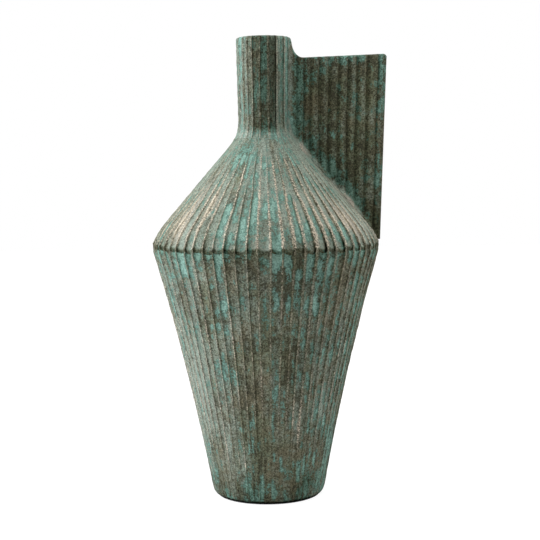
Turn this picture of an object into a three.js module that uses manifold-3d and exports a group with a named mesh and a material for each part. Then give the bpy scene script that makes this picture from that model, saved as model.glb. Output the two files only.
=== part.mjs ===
// A tall decorative vase of cast metal with a verdigris finish, in millimetres, +Z up.
// Six pieces: felt disc, base plate, lower body, shoulder, neck and an upright fin.
// The origin is the centre of the underside, and the fin stands towards +X.
import * as THREE from 'three';
import { mergeVertices } from 'three/addons/utils/BufferGeometryUtils.js';
import Module from 'manifold-3d';

// Heights, measured from the surface that the vase stands on
const TOTAL_HEIGHT = 470;
const RING_HEIGHT = 262;

// Lower body, measured over the ridges: a cone with a slightly hollow side,
// a rounded foot and an upright band under the ring's edge
const RING_RADIUS = 116.6;
const FOOT_RADIUS = 57.4;
const FOOT_ROUND = 4;
const BODY_HOLLOW = 3.2;
const BODY_BAND = 4;

// Shoulder: an upright band, a knee and a straight cone, which sweeps up into the neck
const SHOULDER_BAND = 4;
const BAND_LEAN = 0.3;
const KNEE_RISE = 23;
const KNEE_INSET = 14.7;
const CONE_SLOPE = 0.867;
const ROOT_SWEEP = 38;
// The shoulder ends this far up the sweep, where the neck is seated
const NECK_SEAT_RISE = 7.3;

// Neck, measured over the ridges
const NECK_RADIUS = 27;
const NECK_FLARE = 1.5;
const RIM_ROUND = 3;
const LIP_ROUND = 1.5;

// Walls, and the gap that a brazed joint leaves
const BODY_WALL = 4;
const SHOULDER_WALL = 4;
const NECK_BORE_RADIUS = 22;
const JOINT_GAP = 0.3;

// Spigots that centre one casting in the next
const GIRTH_SPIGOT_DEPTH = 8;
const GIRTH_SPIGOT_WALL = 3;
const GIRTH_LIP = 4;
const NECK_SPIGOT_DEPTH = 9;
const NECK_SPIGOT_WALL = 3;

// Base plate in its rebate, and the felt under it
const FELT_THICKNESS = 1.2;
const FELT_MARGIN = 0.3;
const PLATE_THICKNESS = 5;
const PLATE_RADIUS = 47;
const LEDGE_WIDTH = 4;
const LEDGE_THICKNESS = 4;

// Fluting: shallow hollows between sharp ridges. The first ridge stands this many
// degrees from the front, and the hollows thin out towards foot and neck.
const FLUTES = 64;
const FLUTE_DEPTH = 1.7;
const FLUTE_START = 2.1;
const FOOT_FLUTE_DEPTH = 0.8;
const NECK_FLUTES = 24;
const NECK_FLUTE_DEPTH = 1.2;
const NECK_FLUTE_START = 5;
// Ridges of three lengths climb the shoulder, and each dies out above its own radius
const RIDGE_END_RADII = [36, 62, 48];
const RIDGE_FADE = 16;
const SMOOTH_BAND = 14;

// Fin: an upright plate, fluted on both faces, with its outer edge leaning outwards
const FIN_THICKNESS = 11;
const FIN_TOP_OVERHANG = 9;
const FIN_FOOT_OVERHANG = 1;
const FIN_TOP_DROP = 17.7;
const FIN_TOP_SLOPE = 0.033;
const FIN_FOOT_RISE = 1.5;
const FIN_FLUTES = 10;
const FIN_FLUTE_DEPTH = 1.1;
const FIN_EDGE_ROUND = 3;
const FIN_CORNER_ROUND = 4;
const FIN_NECK_FILLET = 8;
const FIN_FOOT_FILLET = 4;
const FIN_SWEEP_WIDTH = 12;
// The flutes beside the neck start shallow and reach full depth this many flutes out
const FIN_FADE_FLUTES = 2;
// The foot fillet stops this far down its arc, so that its toe isn't a feather edge
const FIN_FILLET_SHARE = 0.9;
// How deep the fin's blank reaches into its seats before it is cut to them
const FIN_BLANK_DEPTH = 5;

// Facets: points across one flute, and the steps of the turned inner faces
const STEPS_PER_FLUTE = 4;
const BODY_COLUMNS = FLUTES * STEPS_PER_FLUTE;
const BODY_TURNED_COLUMNS = FLUTES;
const NECK_COLUMNS = NECK_FLUTES * STEPS_PER_FLUTE;
const NECK_TURNED_COLUMNS = NECK_FLUTES * 2;
const DISC_COLUMNS = 64;
const RIM_STEPS = 3;
const EDGE_STEPS = 2;
const NECK_ROOT_STEPS = 3;
const FIN_ROOT_STEPS = 4;
const BODY_WALL_STEPS = 3;
const SHOULDER_WALL_STEPS = 2;

// Places that follow from the sizes above
const FOOT_HEIGHT = FELT_THICKNESS;
const PLATE_TOP = FOOT_HEIGHT + PLATE_THICKNESS;
const GIRTH_SEAM_HEIGHT = RING_HEIGHT - SHOULDER_BAND;
const BODY_CONE_TOP = GIRTH_SEAM_HEIGHT - BODY_BAND;
const SEAM_RADIUS = RING_RADIUS - BAND_LEAN;
const GIRTH_REGISTER_RADIUS = SEAM_RADIUS - FLUTE_DEPTH - GIRTH_LIP;
const NECK_REGISTER_RADIUS = NECK_BORE_RADIUS + NECK_SPIGOT_WALL + JOINT_GAP;
const KNEE_HEIGHT = RING_HEIGHT + KNEE_RISE;
const RING_TURN_HEIGHT = RING_HEIGHT + KNEE_RISE / 3;
const KNEE_RADIUS = RING_RADIUS - KNEE_INSET;

// The cone's line would meet the neck's line at the corner, and the sweep touches both
const CONE_ANGLE = Math.atan(CONE_SLOPE);
const CORNER_HEIGHT = KNEE_HEIGHT + (KNEE_RADIUS - NECK_RADIUS) / CONE_SLOPE;
const SWEEP_REACH = ROOT_SWEEP * Math.tan(CONE_ANGLE / 2);
const SWEEP_START_HEIGHT = CORNER_HEIGHT - SWEEP_REACH * Math.cos(CONE_ANGLE);
const SWEEP_END_HEIGHT = CORNER_HEIGHT + SWEEP_REACH;
const NECK_SEAT_HEIGHT = SWEEP_START_HEIGHT + NECK_SEAT_RISE;

function between(value, low, high) {
  return Math.min(high, Math.max(low, value));
}

function smooth(value) {
  const t = between(value, 0, 1);
  return t * t * (3 - 2 * t);
}

function evenHeights(from, to, steps) {
  return Array.from({ length: steps + 1 }, (_, step) => from + (to - from) * step / steps);
}

// How far a quarter circle has left its starting line after running some way along it
function quarterCircle(run, radius) {
  return radius - Math.sqrt(radius ** 2 - between(run, 0, radius) ** 2);
}

// Radius over the ridges of the lower body, with the band at its top
function bodyRadius(height) {
  const t = Math.min(1, (height - FOOT_HEIGHT) / (BODY_CONE_TOP - FOOT_HEIGHT));
  const straight = FOOT_RADIUS + (SEAM_RADIUS - FOOT_RADIUS) * t;
  return straight - BODY_HOLLOW * 4 * t * (1 - t);
}

// Radius over the ridges from the girth seam to the rim
function upperRadius(height) {
  if (height < RING_HEIGHT) {
    return RING_RADIUS - BAND_LEAN * (RING_HEIGHT - height) / SHOULDER_BAND;
  }
  if (height < KNEE_HEIGHT) {
    const t = (height - RING_HEIGHT) / KNEE_RISE;
    const firstSlope = 2 * KNEE_INSET - CONE_SLOPE * KNEE_RISE;
    return RING_RADIUS - firstSlope * t - (KNEE_INSET - firstSlope) * t * t;
  }
  if (height < SWEEP_START_HEIGHT) {
    return KNEE_RADIUS - CONE_SLOPE * (height - KNEE_HEIGHT);
  }
  if (height < SWEEP_END_HEIGHT) {
    return NECK_RADIUS + quarterCircle(SWEEP_END_HEIGHT - height, ROOT_SWEEP);
  }
  const t = (height - SWEEP_END_HEIGHT) / (TOTAL_HEIGHT - SWEEP_END_HEIGHT);
  return NECK_RADIUS + NECK_FLARE * t;
}

// Where a direction lies in the fluting: the ridge before it, and how far past that ridge
function flutePlace(angle, count, startDegrees) {
  const turns = angle / (2 * Math.PI) + 0.25 - startDegrees / 360;
  const ridge = Math.floor(turns * count + 1e-6);
  return { ridge, past: between(turns * count - ridge, 0, 1) };
}

// How deep a hollow is between its ridges: nothing at a ridge and all of it half way
function hollow(past) {
  return 1 - (2 * past - 1) ** 2;
}

function bodyFluteDepth(height) {
  const t = (height - FOOT_HEIGHT) / (GIRTH_SEAM_HEIGHT - FOOT_HEIGHT);
  return FOOT_FLUTE_DEPTH + (FLUTE_DEPTH - FOOT_FLUTE_DEPTH) * t;
}

function bodySurface(height, angle) {
  const { past } = flutePlace(angle, FLUTES, FLUTE_START);
  return bodyRadius(height) - bodyFluteDepth(height) * hollow(past);
}

// Strength of one shoulder ridge: 1 low on the cone, and 0 above where it dies out
function ridgeStrength(ridge, radius) {
  const kinds = RIDGE_END_RADII.length;
  const end = RIDGE_END_RADII[((ridge % kinds) + kinds) % kinds];
  return smooth((radius - end) / RIDGE_FADE);
}

// Between two ridges the floor is hollow. Where a ridge dies out, its hollows run together.
function shoulderSurface(height, angle) {
  const radius = upperRadius(height);
  const depth = FLUTE_DEPTH * smooth((radius - upperRadius(NECK_SEAT_HEIGHT)) / SMOOTH_BAND);
  const { ridge, past } = flutePlace(angle, FLUTES, FLUTE_START);
  const here = ridgeStrength(ridge % FLUTES, radius);
  const next = ridgeStrength((ridge + 1) % FLUTES, radius);
  const strength = here + (next - here) * past;
  return radius - depth * (1 - strength * (1 - hollow(past)));
}

function neckSurface(height, angle) {
  const { past } = flutePlace(angle, NECK_FLUTES, NECK_FLUTE_START);
  return upperRadius(height) - NECK_FLUTE_DEPTH * hollow(past);
}

function indexedGeometry(points, triangles) {
  const geometry = new THREE.BufferGeometry();
  geometry.setAttribute('position', new THREE.Float32BufferAttribute(points, 3));
  geometry.setIndex(triangles);
  return geometry;
}

// One level ring of points, which starts at the first ridge so that ridges lie on points
function addRing(points, columns, startDegrees, height, radiusAt) {
  const first = points.length / 3;
  for (let column = 0; column < columns; column += 1) {
    const angle = (startDegrees - 90) * Math.PI / 180 + 2 * Math.PI * column / columns;
    const radius = radiusAt(angle);
    points.push(radius * Math.cos(angle), radius * Math.sin(angle), height);
  }
  return { first, columns };
}

// Triangles between two rings, where the fine one has a whole multiple of the other's points
function joinRings(triangles, fine, coarse, flip = false) {
  const ratio = fine.columns / coarse.columns;
  const add = (a, b, c) => (flip ? triangles.push(a, c, b) : triangles.push(a, b, c));
  for (let step = 0; step < coarse.columns; step += 1) {
    const here = coarse.first + step;
    const next = coarse.first + (step + 1) % coarse.columns;
    const middle = Math.ceil(ratio / 2);
    for (let part = 0; part < ratio; part += 1) {
      const a = fine.first + step * ratio + part;
      const b = fine.first + (step * ratio + part + 1) % fine.columns;
      add(a, b, part < middle ? here : next);
    }
    add(fine.first + (step * ratio + middle) % fine.columns, next, here);
  }
}

// A shell with a fluted outside, given as [height, inset] from its lower edge up, and a
// turned inside, given as [radius, height] from the upper edge down to the lower edge again
function flutedShell(outside, surface, flutes, startDegrees, inside, insideColumns) {
  const points = [];
  const triangles = [];
  const columns = flutes * STEPS_PER_FLUTE;
  const outer = outside.map(([height, inset]) => (
    addRing(points, columns, startDegrees, height, (angle) => surface(height, angle) - inset)
  ));
  const inner = inside.map(([radius, height]) => (
    addRing(points, insideColumns, startDegrees, height, () => radius)
  ));
  const loop = [...outer, ...inner];
  for (let row = 1; row < loop.length; row += 1) {
    joinRings(triangles, loop[row - 1], loop[row]);
  }
  joinRings(triangles, outer[0], inner[inner.length - 1], true);
  return indexedGeometry(points, triangles);
}

// The filled form of a fluted surface, grown outwards and closed by a flat fan at each end
function flutedCore(heights, surface, columns, startDegrees, growth) {
  const points = [];
  const triangles = [];
  const rings = heights.map((height) => (
    addRing(points, columns, startDegrees, height, (angle) => surface(height, angle) + growth)
  ));
  for (let row = 1; row < rings.length; row += 1) {
    joinRings(triangles, rings[row - 1], rings[row]);
  }
  const axis = points.length / 3;
  const foot = rings[0];
  const head = rings[rings.length - 1];
  points.push(0, 0, heights[0], 0, 0, heights[heights.length - 1]);
  for (let step = 0; step < columns; step += 1) {
    const next = (step + 1) % columns;
    triangles.push(axis, foot.first + next, foot.first + step);
    triangles.push(axis + 1, head.first + step, head.first + next);
  }
  return indexedGeometry(points, triangles);
}

// Rows of an edge rounded by a quarter circle, as [distance from the flat face, inset],
// from the side of the piece to its flat face
function roundedEdge(radius, steps) {
  return evenHeights(0, Math.PI / 2, steps).map((turn) => (
    [radius * (1 - Math.sin(turn)), radius * (1 - Math.cos(turn))]
  ));
}

function flatDisc(radius, thickness, lowHeight) {
  const disc = new THREE.CylinderGeometry(radius, radius, thickness, DISC_COLUMNS);
  disc.rotateX(Math.PI / 2);
  disc.translate(0, 0, lowHeight + thickness / 2);
  return disc;
}

function feltDisc() {
  return flatDisc(FOOT_RADIUS - FOOT_ROUND - FELT_MARGIN, FELT_THICKNESS, 0);
}

function basePlate() {
  return flatDisc(PLATE_RADIUS, PLATE_THICKNESS, FOOT_HEIGHT);
}

// Inner radius of the body's wall, which keeps its thickness behind the hollows
function bodyInside(height) {
  return bodyRadius(height) - bodyFluteDepth(height) - BODY_WALL;
}

function lowerBody() {
  const foot = roundedEdge(FOOT_ROUND, EDGE_STEPS).reverse();
  const wall = evenHeights(FOOT_HEIGHT + FOOT_ROUND, BODY_CONE_TOP, BODY_WALL_STEPS).slice(1);
  const outside = [
    ...foot.map(([distance, inset]) => [FOOT_HEIGHT + distance, inset]),
    ...[...wall, GIRTH_SEAM_HEIGHT].map((height) => [height, 0]),
  ];
  const registerFoot = GIRTH_SEAM_HEIGHT - GIRTH_SPIGOT_DEPTH - JOINT_GAP;
  const ledgeTop = PLATE_TOP + LEDGE_THICKNESS;
  const rebateRadius = PLATE_RADIUS + JOINT_GAP;
  const wallHeights = evenHeights(registerFoot, ledgeTop, BODY_WALL_STEPS);
  const inside = [
    [GIRTH_REGISTER_RADIUS, GIRTH_SEAM_HEIGHT],
    [GIRTH_REGISTER_RADIUS, registerFoot],
    ...wallHeights.map((height) => [bodyInside(height), height]),
    [rebateRadius - LEDGE_WIDTH, ledgeTop],
    [rebateRadius - LEDGE_WIDTH, PLATE_TOP],
    [rebateRadius, PLATE_TOP],
    [rebateRadius, FOOT_HEIGHT],
  ];
  return flutedShell(outside, bodySurface, FLUTES, FLUTE_START, inside, BODY_TURNED_COLUMNS);
}

const SHOULDER_HEIGHTS = [
  GIRTH_SEAM_HEIGHT,
  RING_HEIGHT,
  RING_TURN_HEIGHT,
  ...evenHeights(KNEE_HEIGHT, SWEEP_START_HEIGHT, BODY_WALL_STEPS),
  NECK_SEAT_HEIGHT,
];

// Inner radius of the shoulder's wall, whose thickness is measured square to the cone
function shoulderInside(height) {
  return upperRadius(height) - FLUTE_DEPTH - SHOULDER_WALL / Math.cos(CONE_ANGLE);
}

function shoulder() {
  const outside = SHOULDER_HEIGHTS.map((height) => [height, 0]);
  const spigotRadius = GIRTH_REGISTER_RADIUS - JOINT_GAP;
  const spigotFoot = GIRTH_SEAM_HEIGHT - GIRTH_SPIGOT_DEPTH;
  const wallTop = SWEEP_START_HEIGHT - SHOULDER_WALL;
  const coneHeights = evenHeights(wallTop, KNEE_HEIGHT, SHOULDER_WALL_STEPS);
  const inside = [
    [NECK_REGISTER_RADIUS, NECK_SEAT_HEIGHT],
    [NECK_REGISTER_RADIUS, NECK_SEAT_HEIGHT - NECK_SPIGOT_DEPTH - JOINT_GAP],
    ...[...coneHeights, RING_TURN_HEIGHT].map((height) => [shoulderInside(height), height]),
    [spigotRadius - GIRTH_SPIGOT_WALL, GIRTH_SEAM_HEIGHT],
    [spigotRadius - GIRTH_SPIGOT_WALL, spigotFoot],
    [spigotRadius, spigotFoot],
    [spigotRadius, GIRTH_SEAM_HEIGHT],
  ];
  return flutedShell(outside, shoulderSurface, FLUTES, FLUTE_START, inside, BODY_TURNED_COLUMNS);
}

const NECK_ROOT_HEIGHTS = evenHeights(NECK_SEAT_HEIGHT, SWEEP_END_HEIGHT, NECK_ROOT_STEPS);

function neck() {
  const outside = [
    ...NECK_ROOT_HEIGHTS.map((height) => [height, 0]),
    ...roundedEdge(RIM_ROUND, RIM_STEPS).map(([distance, inset]) => [TOTAL_HEIGHT - distance, inset]),
  ];
  const spigotFoot = NECK_SEAT_HEIGHT - NECK_SPIGOT_DEPTH;
  const inside = [
    [NECK_BORE_RADIUS + LIP_ROUND, TOTAL_HEIGHT],
    [NECK_BORE_RADIUS, TOTAL_HEIGHT - LIP_ROUND],
    [NECK_BORE_RADIUS, spigotFoot],
    [NECK_BORE_RADIUS + NECK_SPIGOT_WALL, spigotFoot],
    [NECK_BORE_RADIUS + NECK_SPIGOT_WALL, NECK_SEAT_HEIGHT],
  ];
  return flutedShell(
    outside, neckSurface, NECK_FLUTES, NECK_FLUTE_START, inside, NECK_TURNED_COLUMNS,
  );
}

const wasm = await Module();
wasm.setup();

function toSolid(geometry) {
  const plain = geometry.clone();
  plain.deleteAttribute('normal');
  plain.deleteAttribute('uv');
  const merged = mergeVertices(plain);
  return new wasm.Manifold(new wasm.Mesh({
    numProp: 3,
    vertProperties: new Float32Array(merged.attributes.position.array),
    triVerts: new Uint32Array(merged.index.array),
  }));
}

function fromSolid(solid) {
  const mesh = solid.getMesh();
  return indexedGeometry(Array.from(mesh.vertProperties), Array.from(mesh.triVerts));
}

// What the fin may not touch: the filled shoulder and neck, grown by the joint gap
function finSeats() {
  const growth = JOINT_GAP / Math.cos(CONE_ANGLE);
  const neckHeights = [...NECK_ROOT_HEIGHTS, TOTAL_HEIGHT];
  const cone = flutedCore(SHOULDER_HEIGHTS, shoulderSurface, BODY_COLUMNS, FLUTE_START, growth);
  const stem = flutedCore(neckHeights, neckSurface, NECK_COLUMNS, NECK_FLUTE_START, growth);
  return toSolid(cone).add(toSolid(stem));
}

// The fillet beside the neck touches the fin's face here, and the neck itself further in
const HALF_FIN = FIN_THICKNESS / 2;
const FILLET_CENTRE = NECK_RADIUS + FIN_NECK_FILLET;
const FILLET_END = Math.sqrt(FILLET_CENTRE ** 2 - (HALF_FIN + FIN_NECK_FILLET) ** 2);
const FILLET_LENGTH = FILLET_END * FIN_NECK_FILLET / FILLET_CENTRE;
const FIN_LOWEST = RING_HEIGHT + FIN_FOOT_RISE;
const FIN_TOP_HEIGHT = TOTAL_HEIGHT - FIN_TOP_DROP;
const FIN_OUTER_FOOT = RING_RADIUS + FIN_FOOT_OVERHANG;
const FIN_OUTER_TOP = RING_RADIUS + FIN_TOP_OVERHANG;

function finOuterEdge(height) {
  const t = (height - FIN_LOWEST) / (FIN_TOP_HEIGHT - FIN_LOWEST);
  return FIN_OUTER_FOOT + (FIN_OUTER_TOP - FIN_OUTER_FOOT) * t;
}

// Top of the fin: a gently rising edge, a quarter ellipse up the neck to the rim's rounding,
// and a rounded corner
function finTop(x) {
  const edge = (place) => FIN_TOP_HEIGHT - FIN_TOP_SLOPE * (FIN_OUTER_TOP - place);
  const neckFace = NECK_RADIUS + NECK_FLARE;
  const sweepHeight = TOTAL_HEIGHT - RIM_ROUND - edge(neckFace);
  const sweep = quarterCircle(neckFace + FIN_SWEEP_WIDTH - x, FIN_SWEEP_WIDTH) / FIN_SWEEP_WIDTH;
  const corner = quarterCircle(x - FIN_OUTER_TOP + FIN_CORNER_ROUND, FIN_CORNER_ROUND);
  return edge(x) + sweep * sweepHeight - corner;
}

// Height at which the ridges of shoulder and neck root reach this radius
function seatHeight(x) {
  let low = GIRTH_SEAM_HEIGHT;
  let high = SWEEP_END_HEIGHT;
  for (let halving = 0; halving < 30; halving += 1) {
    const middle = (low + high) / 2;
    if (upperRadius(middle) > x) {
      low = middle;
    } else {
      high = middle;
    }
  }
  return Math.max(low, FIN_LOWEST + 1);
}

// Upright lines on the fin's face. Each gives its x at a height, its place in a flute,
// and how far the outer edge's rounding has drawn it in.
function finLines() {
  const lines = [];
  const rootStart = FILLET_END - FILLET_LENGTH - FIN_EDGE_ROUND / 2;
  for (let step = 0; step < FIN_ROOT_STEPS; step += 1) {
    const x = rootStart + (FILLET_END - rootStart) * step / FIN_ROOT_STEPS;
    lines.push({ at: () => x, past: 0, depth: 0, trim: 0 });
  }
  const steps = FIN_FLUTES * STEPS_PER_FLUTE;
  for (let step = 0; step < steps; step += 1) {
    const share = step / steps;
    const at = (height) => FILLET_END + (finOuterEdge(height) - FIN_EDGE_ROUND - FILLET_END) * share;
    const depth = FIN_FLUTE_DEPTH * smooth((share * FIN_FLUTES + 0.5) / FIN_FADE_FLUTES);
    lines.push({ at, past: (step % STEPS_PER_FLUTE) / STEPS_PER_FLUTE, depth, trim: 0 });
  }
  for (const [distance, inset] of roundedEdge(FIN_EDGE_ROUND, EDGE_STEPS)) {
    lines.push({ at: (height) => finOuterEdge(height) - distance, past: 0, depth: 0, trim: inset });
  }
  return lines;
}

// Half the fin's thickness at a place: the plate, less its hollow, plus the two fillets
function finHalf(line, x, aboveSeat) {
  const nearNeck = Math.min(FILLET_END - x, FILLET_LENGTH);
  const nearSeat = FIN_FOOT_FILLET * FIN_FILLET_SHARE - aboveSeat * Math.sin(CONE_ANGLE);
  const swell = Math.max(
    quarterCircle(nearNeck, FIN_NECK_FILLET),
    quarterCircle(nearSeat, FIN_FOOT_FILLET),
  );
  return HALF_FIN - line.depth * hollow(line.past) + swell;
}

// Points up one line of the fin, from inside the shoulder to the rounded top edge
function finRows(line) {
  const roughSeat = seatHeight(line.at(FIN_LOWEST));
  const seat = seatHeight(line.at(roughSeat));
  const top = finTop(line.at(FIN_TOP_HEIGHT));
  const fillet = FIN_FOOT_FILLET * FIN_FILLET_SHARE / Math.sin(CONE_ANGLE);
  const heights = [
    [Math.max(seat - FIN_BLANK_DEPTH, FIN_LOWEST), 0],
    ...evenHeights(seat, seat + fillet, EDGE_STEPS).map((height) => [height, 0]),
    ...roundedEdge(FIN_EDGE_ROUND, EDGE_STEPS).map(([distance, inset]) => [top - distance, inset]),
  ];
  return heights.map(([height, inset]) => {
    const x = line.at(height);
    const drawnIn = Math.min(line.trim + inset, FIN_EDGE_ROUND);
    return { x, height, half: finHalf(line, x, Math.max(height - seat, 0)) - drawnIn };
  });
}

// The blank is two mirrored faces joined round their border, and is then cut to its seats
function fin() {
  const grid = finLines().map(finRows);
  const columns = grid.length;
  const rows = grid[0].length;
  const points = [];
  for (const side of [-1, 1]) {
    for (const line of grid) {
      for (const { x, height, half } of line) {
        points.push(x, side * half, height);
      }
    }
  }
  const triangles = [];
  const addQuad = (a, b, c, d) => triangles.push(a, b, c, a, c, d);
  const front = (column, row) => column * rows + row;
  const back = (column, row) => (columns + column) * rows + row;
  const outerLine = columns - 1;
  const topRow = rows - 1;
  for (let right = 1; right < columns; right += 1) {
    const left = right - 1;
    for (let up = 1; up < rows; up += 1) {
      const down = up - 1;
      addQuad(front(left, down), front(right, down), front(right, up), front(left, up));
      addQuad(back(right, down), back(left, down), back(left, up), back(right, up));
    }
    addQuad(front(left, topRow), front(right, topRow), back(right, topRow), back(left, topRow));
    addQuad(front(right, 0), front(left, 0), back(left, 0), back(right, 0));
  }
  for (let up = 1; up < rows; up += 1) {
    const down = up - 1;
    addQuad(front(outerLine, down), back(outerLine, down), back(outerLine, up), front(outerLine, up));
    addQuad(front(0, up), back(0, up), back(0, down), front(0, down));
  }
  return fromSolid(toSolid(indexedGeometry(points, triangles)).subtract(finSeats()));
}

// Finishes: verdigris over cast metal, a little paler on the shoulder, and black felt
const PATINA_BODY = new THREE.MeshStandardMaterial({ color: 0x5f6b5c, roughness: 0.85, metalness: 0.2 });
const PATINA_SHOULDER = new THREE.MeshStandardMaterial({ color: 0x8a9484, roughness: 0.8, metalness: 0.2 });
const PATINA_NECK = new THREE.MeshStandardMaterial({ color: 0x667060, roughness: 0.85, metalness: 0.2 });
const PATINA_FIN = new THREE.MeshStandardMaterial({ color: 0x454c3e, roughness: 0.85, metalness: 0.2 });
const BARE_CASTING = new THREE.MeshStandardMaterial({ color: 0x4a4a40, roughness: 0.7, metalness: 0.4 });
const BLACK_FELT = new THREE.MeshStandardMaterial({ color: 0x161616, roughness: 1, metalness: 0 });

const vase = new THREE.Group();

function addPiece(name, geometry, material) {
  const piece = new THREE.Mesh(geometry, material);
  piece.name = name;
  vase.add(piece);
}

addPiece('felt_disc', feltDisc(), BLACK_FELT);
addPiece('base_plate', basePlate(), BARE_CASTING);
addPiece('lower_body', lowerBody(), PATINA_BODY);
addPiece('shoulder', shoulder(), PATINA_SHOULDER);
addPiece('neck', neck(), PATINA_NECK);
addPiece('fin', fin(), PATINA_FIN);

export default vase;
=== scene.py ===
"""A tall cast vase: fluted body, conical shoulder, slim neck and upright fin, in verdigris.

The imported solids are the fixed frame. Each casting is replaced by a finer surface on the
same profile, with hand-cut fluting, and all four share one procedural patina.
"""
import math

import bpy
import numpy as np
from bpy.props import FloatProperty, FloatVectorProperty, IntProperty, PointerProperty
from mathutils import Matrix, Vector


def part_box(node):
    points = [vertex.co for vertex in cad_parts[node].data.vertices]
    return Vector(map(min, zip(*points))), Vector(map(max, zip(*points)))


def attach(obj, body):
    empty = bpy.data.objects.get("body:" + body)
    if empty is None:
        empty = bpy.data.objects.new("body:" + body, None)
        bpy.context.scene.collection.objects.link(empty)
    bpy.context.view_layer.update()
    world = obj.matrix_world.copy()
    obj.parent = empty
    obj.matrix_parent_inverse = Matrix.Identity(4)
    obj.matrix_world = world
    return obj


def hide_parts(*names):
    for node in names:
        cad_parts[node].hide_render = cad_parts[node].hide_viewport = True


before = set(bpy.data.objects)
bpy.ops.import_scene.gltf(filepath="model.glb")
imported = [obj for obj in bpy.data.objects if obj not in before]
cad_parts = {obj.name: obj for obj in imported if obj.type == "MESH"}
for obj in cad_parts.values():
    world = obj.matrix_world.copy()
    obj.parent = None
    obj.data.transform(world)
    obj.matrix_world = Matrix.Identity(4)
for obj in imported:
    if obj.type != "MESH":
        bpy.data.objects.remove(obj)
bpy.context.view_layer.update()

bl_info = {
    "name": "Fluted Vase with Fin",
    "version": (1, 0, 0),
    "blender": (4, 5, 0),
    "location": "3D View > Sidebar > Fluted Vase",
    "description": "Builds a fluted cast vase with an upright fin and a verdigris finish",
    "category": "Add Mesh",
}

BODY = "root"
# Names of the materials
PATINA = "verdigris_casting"
CASTING = "bare_casting"
FELT = "black_felt"
# Edges that turn by more than this stay sharp
SHARP_ANGLE = math.radians(50)


def node_points(node):
    """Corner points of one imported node, as rows of x, y and z in metres."""
    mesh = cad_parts[node].data
    points = np.empty(len(mesh.vertices) * 3, np.float32)
    mesh.vertices.foreach_get("co", points)
    return points.reshape(-1, 3).astype(float)


def widest_ring(node):
    """Radius and height of the point of a node that stands furthest from the axis."""
    points = node_points(node)
    radii = np.hypot(points[:, 0], points[:, 1])
    widest = int(np.argmax(radii))
    return float(radii[widest]), float(points[widest, 2])


# Sizes read from the frame, in metres
RING_RADIUS, RING_HEIGHT = widest_ring("shoulder")
SEAM_RADIUS, SEAM_HEIGHT = widest_ring("lower_body")
FOOT_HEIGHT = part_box("lower_body")[0].z
NECK_SEAT_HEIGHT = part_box("shoulder")[1].z
TOTAL_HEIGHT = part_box("neck")[1].z
PLATE_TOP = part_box("base_plate")[1].z
PLATE_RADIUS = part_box("base_plate")[1].x

# Profile over the ridges, as in the solids but for a taller rounding of the foot
FOOT_RADIUS = 0.0574
FOOT_ROUND = 0.004
FOOT_ROUND_HEIGHT = 0.007
BODY_HOLLOW = 0.0032
BODY_BAND = 0.004
KNEE_RISE = 0.023
KNEE_INSET = 0.0147
CONE_SLOPE = 0.867
ROOT_SWEEP = 0.038
NECK_RADIUS = 0.027
NECK_FLARE = 0.0015
RIM_ROUND = 0.003
LIP_ROUND = 0.0015

# Walls, registers and spigots inside
WALL = 0.004
FLUTE_DEPTH = 0.0017
NECK_BORE_RADIUS = 0.022
JOINT_GAP = 0.0003
GIRTH_SPIGOT_DEPTH = 0.008
GIRTH_SPIGOT_WALL = 0.003
GIRTH_LIP = 0.004
NECK_SPIGOT_DEPTH = 0.009
NECK_SPIGOT_WALL = 0.003
LEDGE_WIDTH = 0.004
LEDGE_THICKNESS = 0.004

# Fluting. The first ridge stands a little right of the front, which faces -Y.
FRONT = math.radians(-90)
FLUTES = 64
FLUTE_START = FRONT + math.radians(2.1)
FLUTE_COLUMNS = 14
NECK_FLUTE_COLUMNS = 26
# A flute narrower than this is cut less deep
FULL_FLUTE_WIDTH = 0.004
# Lengths of a ridge's wandering, worn stretches and chips, and what wear and chips take
# off its height
WANDER_LENGTHS = (0.09, 0.16)
WORN_LENGTHS = (0.03, 0.08)
CHIP_LENGTHS = (0.009, 0.017)
RIDGE_WORN = 0.20
RIDGE_CHIPS = 0.16
# How deep one hollow is against another, how flat it is, and how far its floor leans
DEPTH_FACTORS = (0.8, 1.12)
FLATNESS = (2.0, 3.0)
FLOOR_LEAN = 0.65
LEAN_SPREAD = 0.15
# Uneven skin: number of waves, most turns round the vase, and fastest rate along it
SKIN_WAVES = 60
SKIN_TURNS = 90
SKIN_RATE = 900.0
# Radii between which the shoulder's ridges end, first those that die out low, then the
# others. A ridge takes this much radius to die out, and its neighbours close up on it by
# this share of the pitch.
LOW_RIDGE_ENDS = (0.046, 0.080)
HIGH_RIDGE_ENDS = (0.031, 0.045)
RIDGE_END_REACH = 0.014
CLOSING_UP = 0.22
# The hollows on one side of the shoulder, in degrees right of the front, are shallower by
# this share, over this reach above the ring
SHALLOW_SIDE = -65
SHALLOW_SHARE = 0.40
SHALLOW_REACH = 0.010
# Rows stand closer together in this reach below the seam
FINE_ROWS_REACH = 0.016
# In the hollows the crease at the girth lies this much lower, within this reach
GIRTH_DIP = 0.0028
GIRTH_DIP_REACH = 0.008
# Hollows are shallower by this share up to this height, and full above it over this reach
FOOT_FADE = 0.45
FOOT_FADE_START = 0.025
FOOT_FADE_REACH = 0.100
# Ridges on the front of the neck, in degrees right of the front, cut unevenly by hand.
# The others stand evenly round the back.
NECK_FRONT_RIDGES = (-67, -49.5, -36.9, -24.8, -8, 9.2, 27.4, 49.5)
NECK_BACK_FLUTES = 15
NECK_DEPTH_SHARE = 0.85

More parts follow.
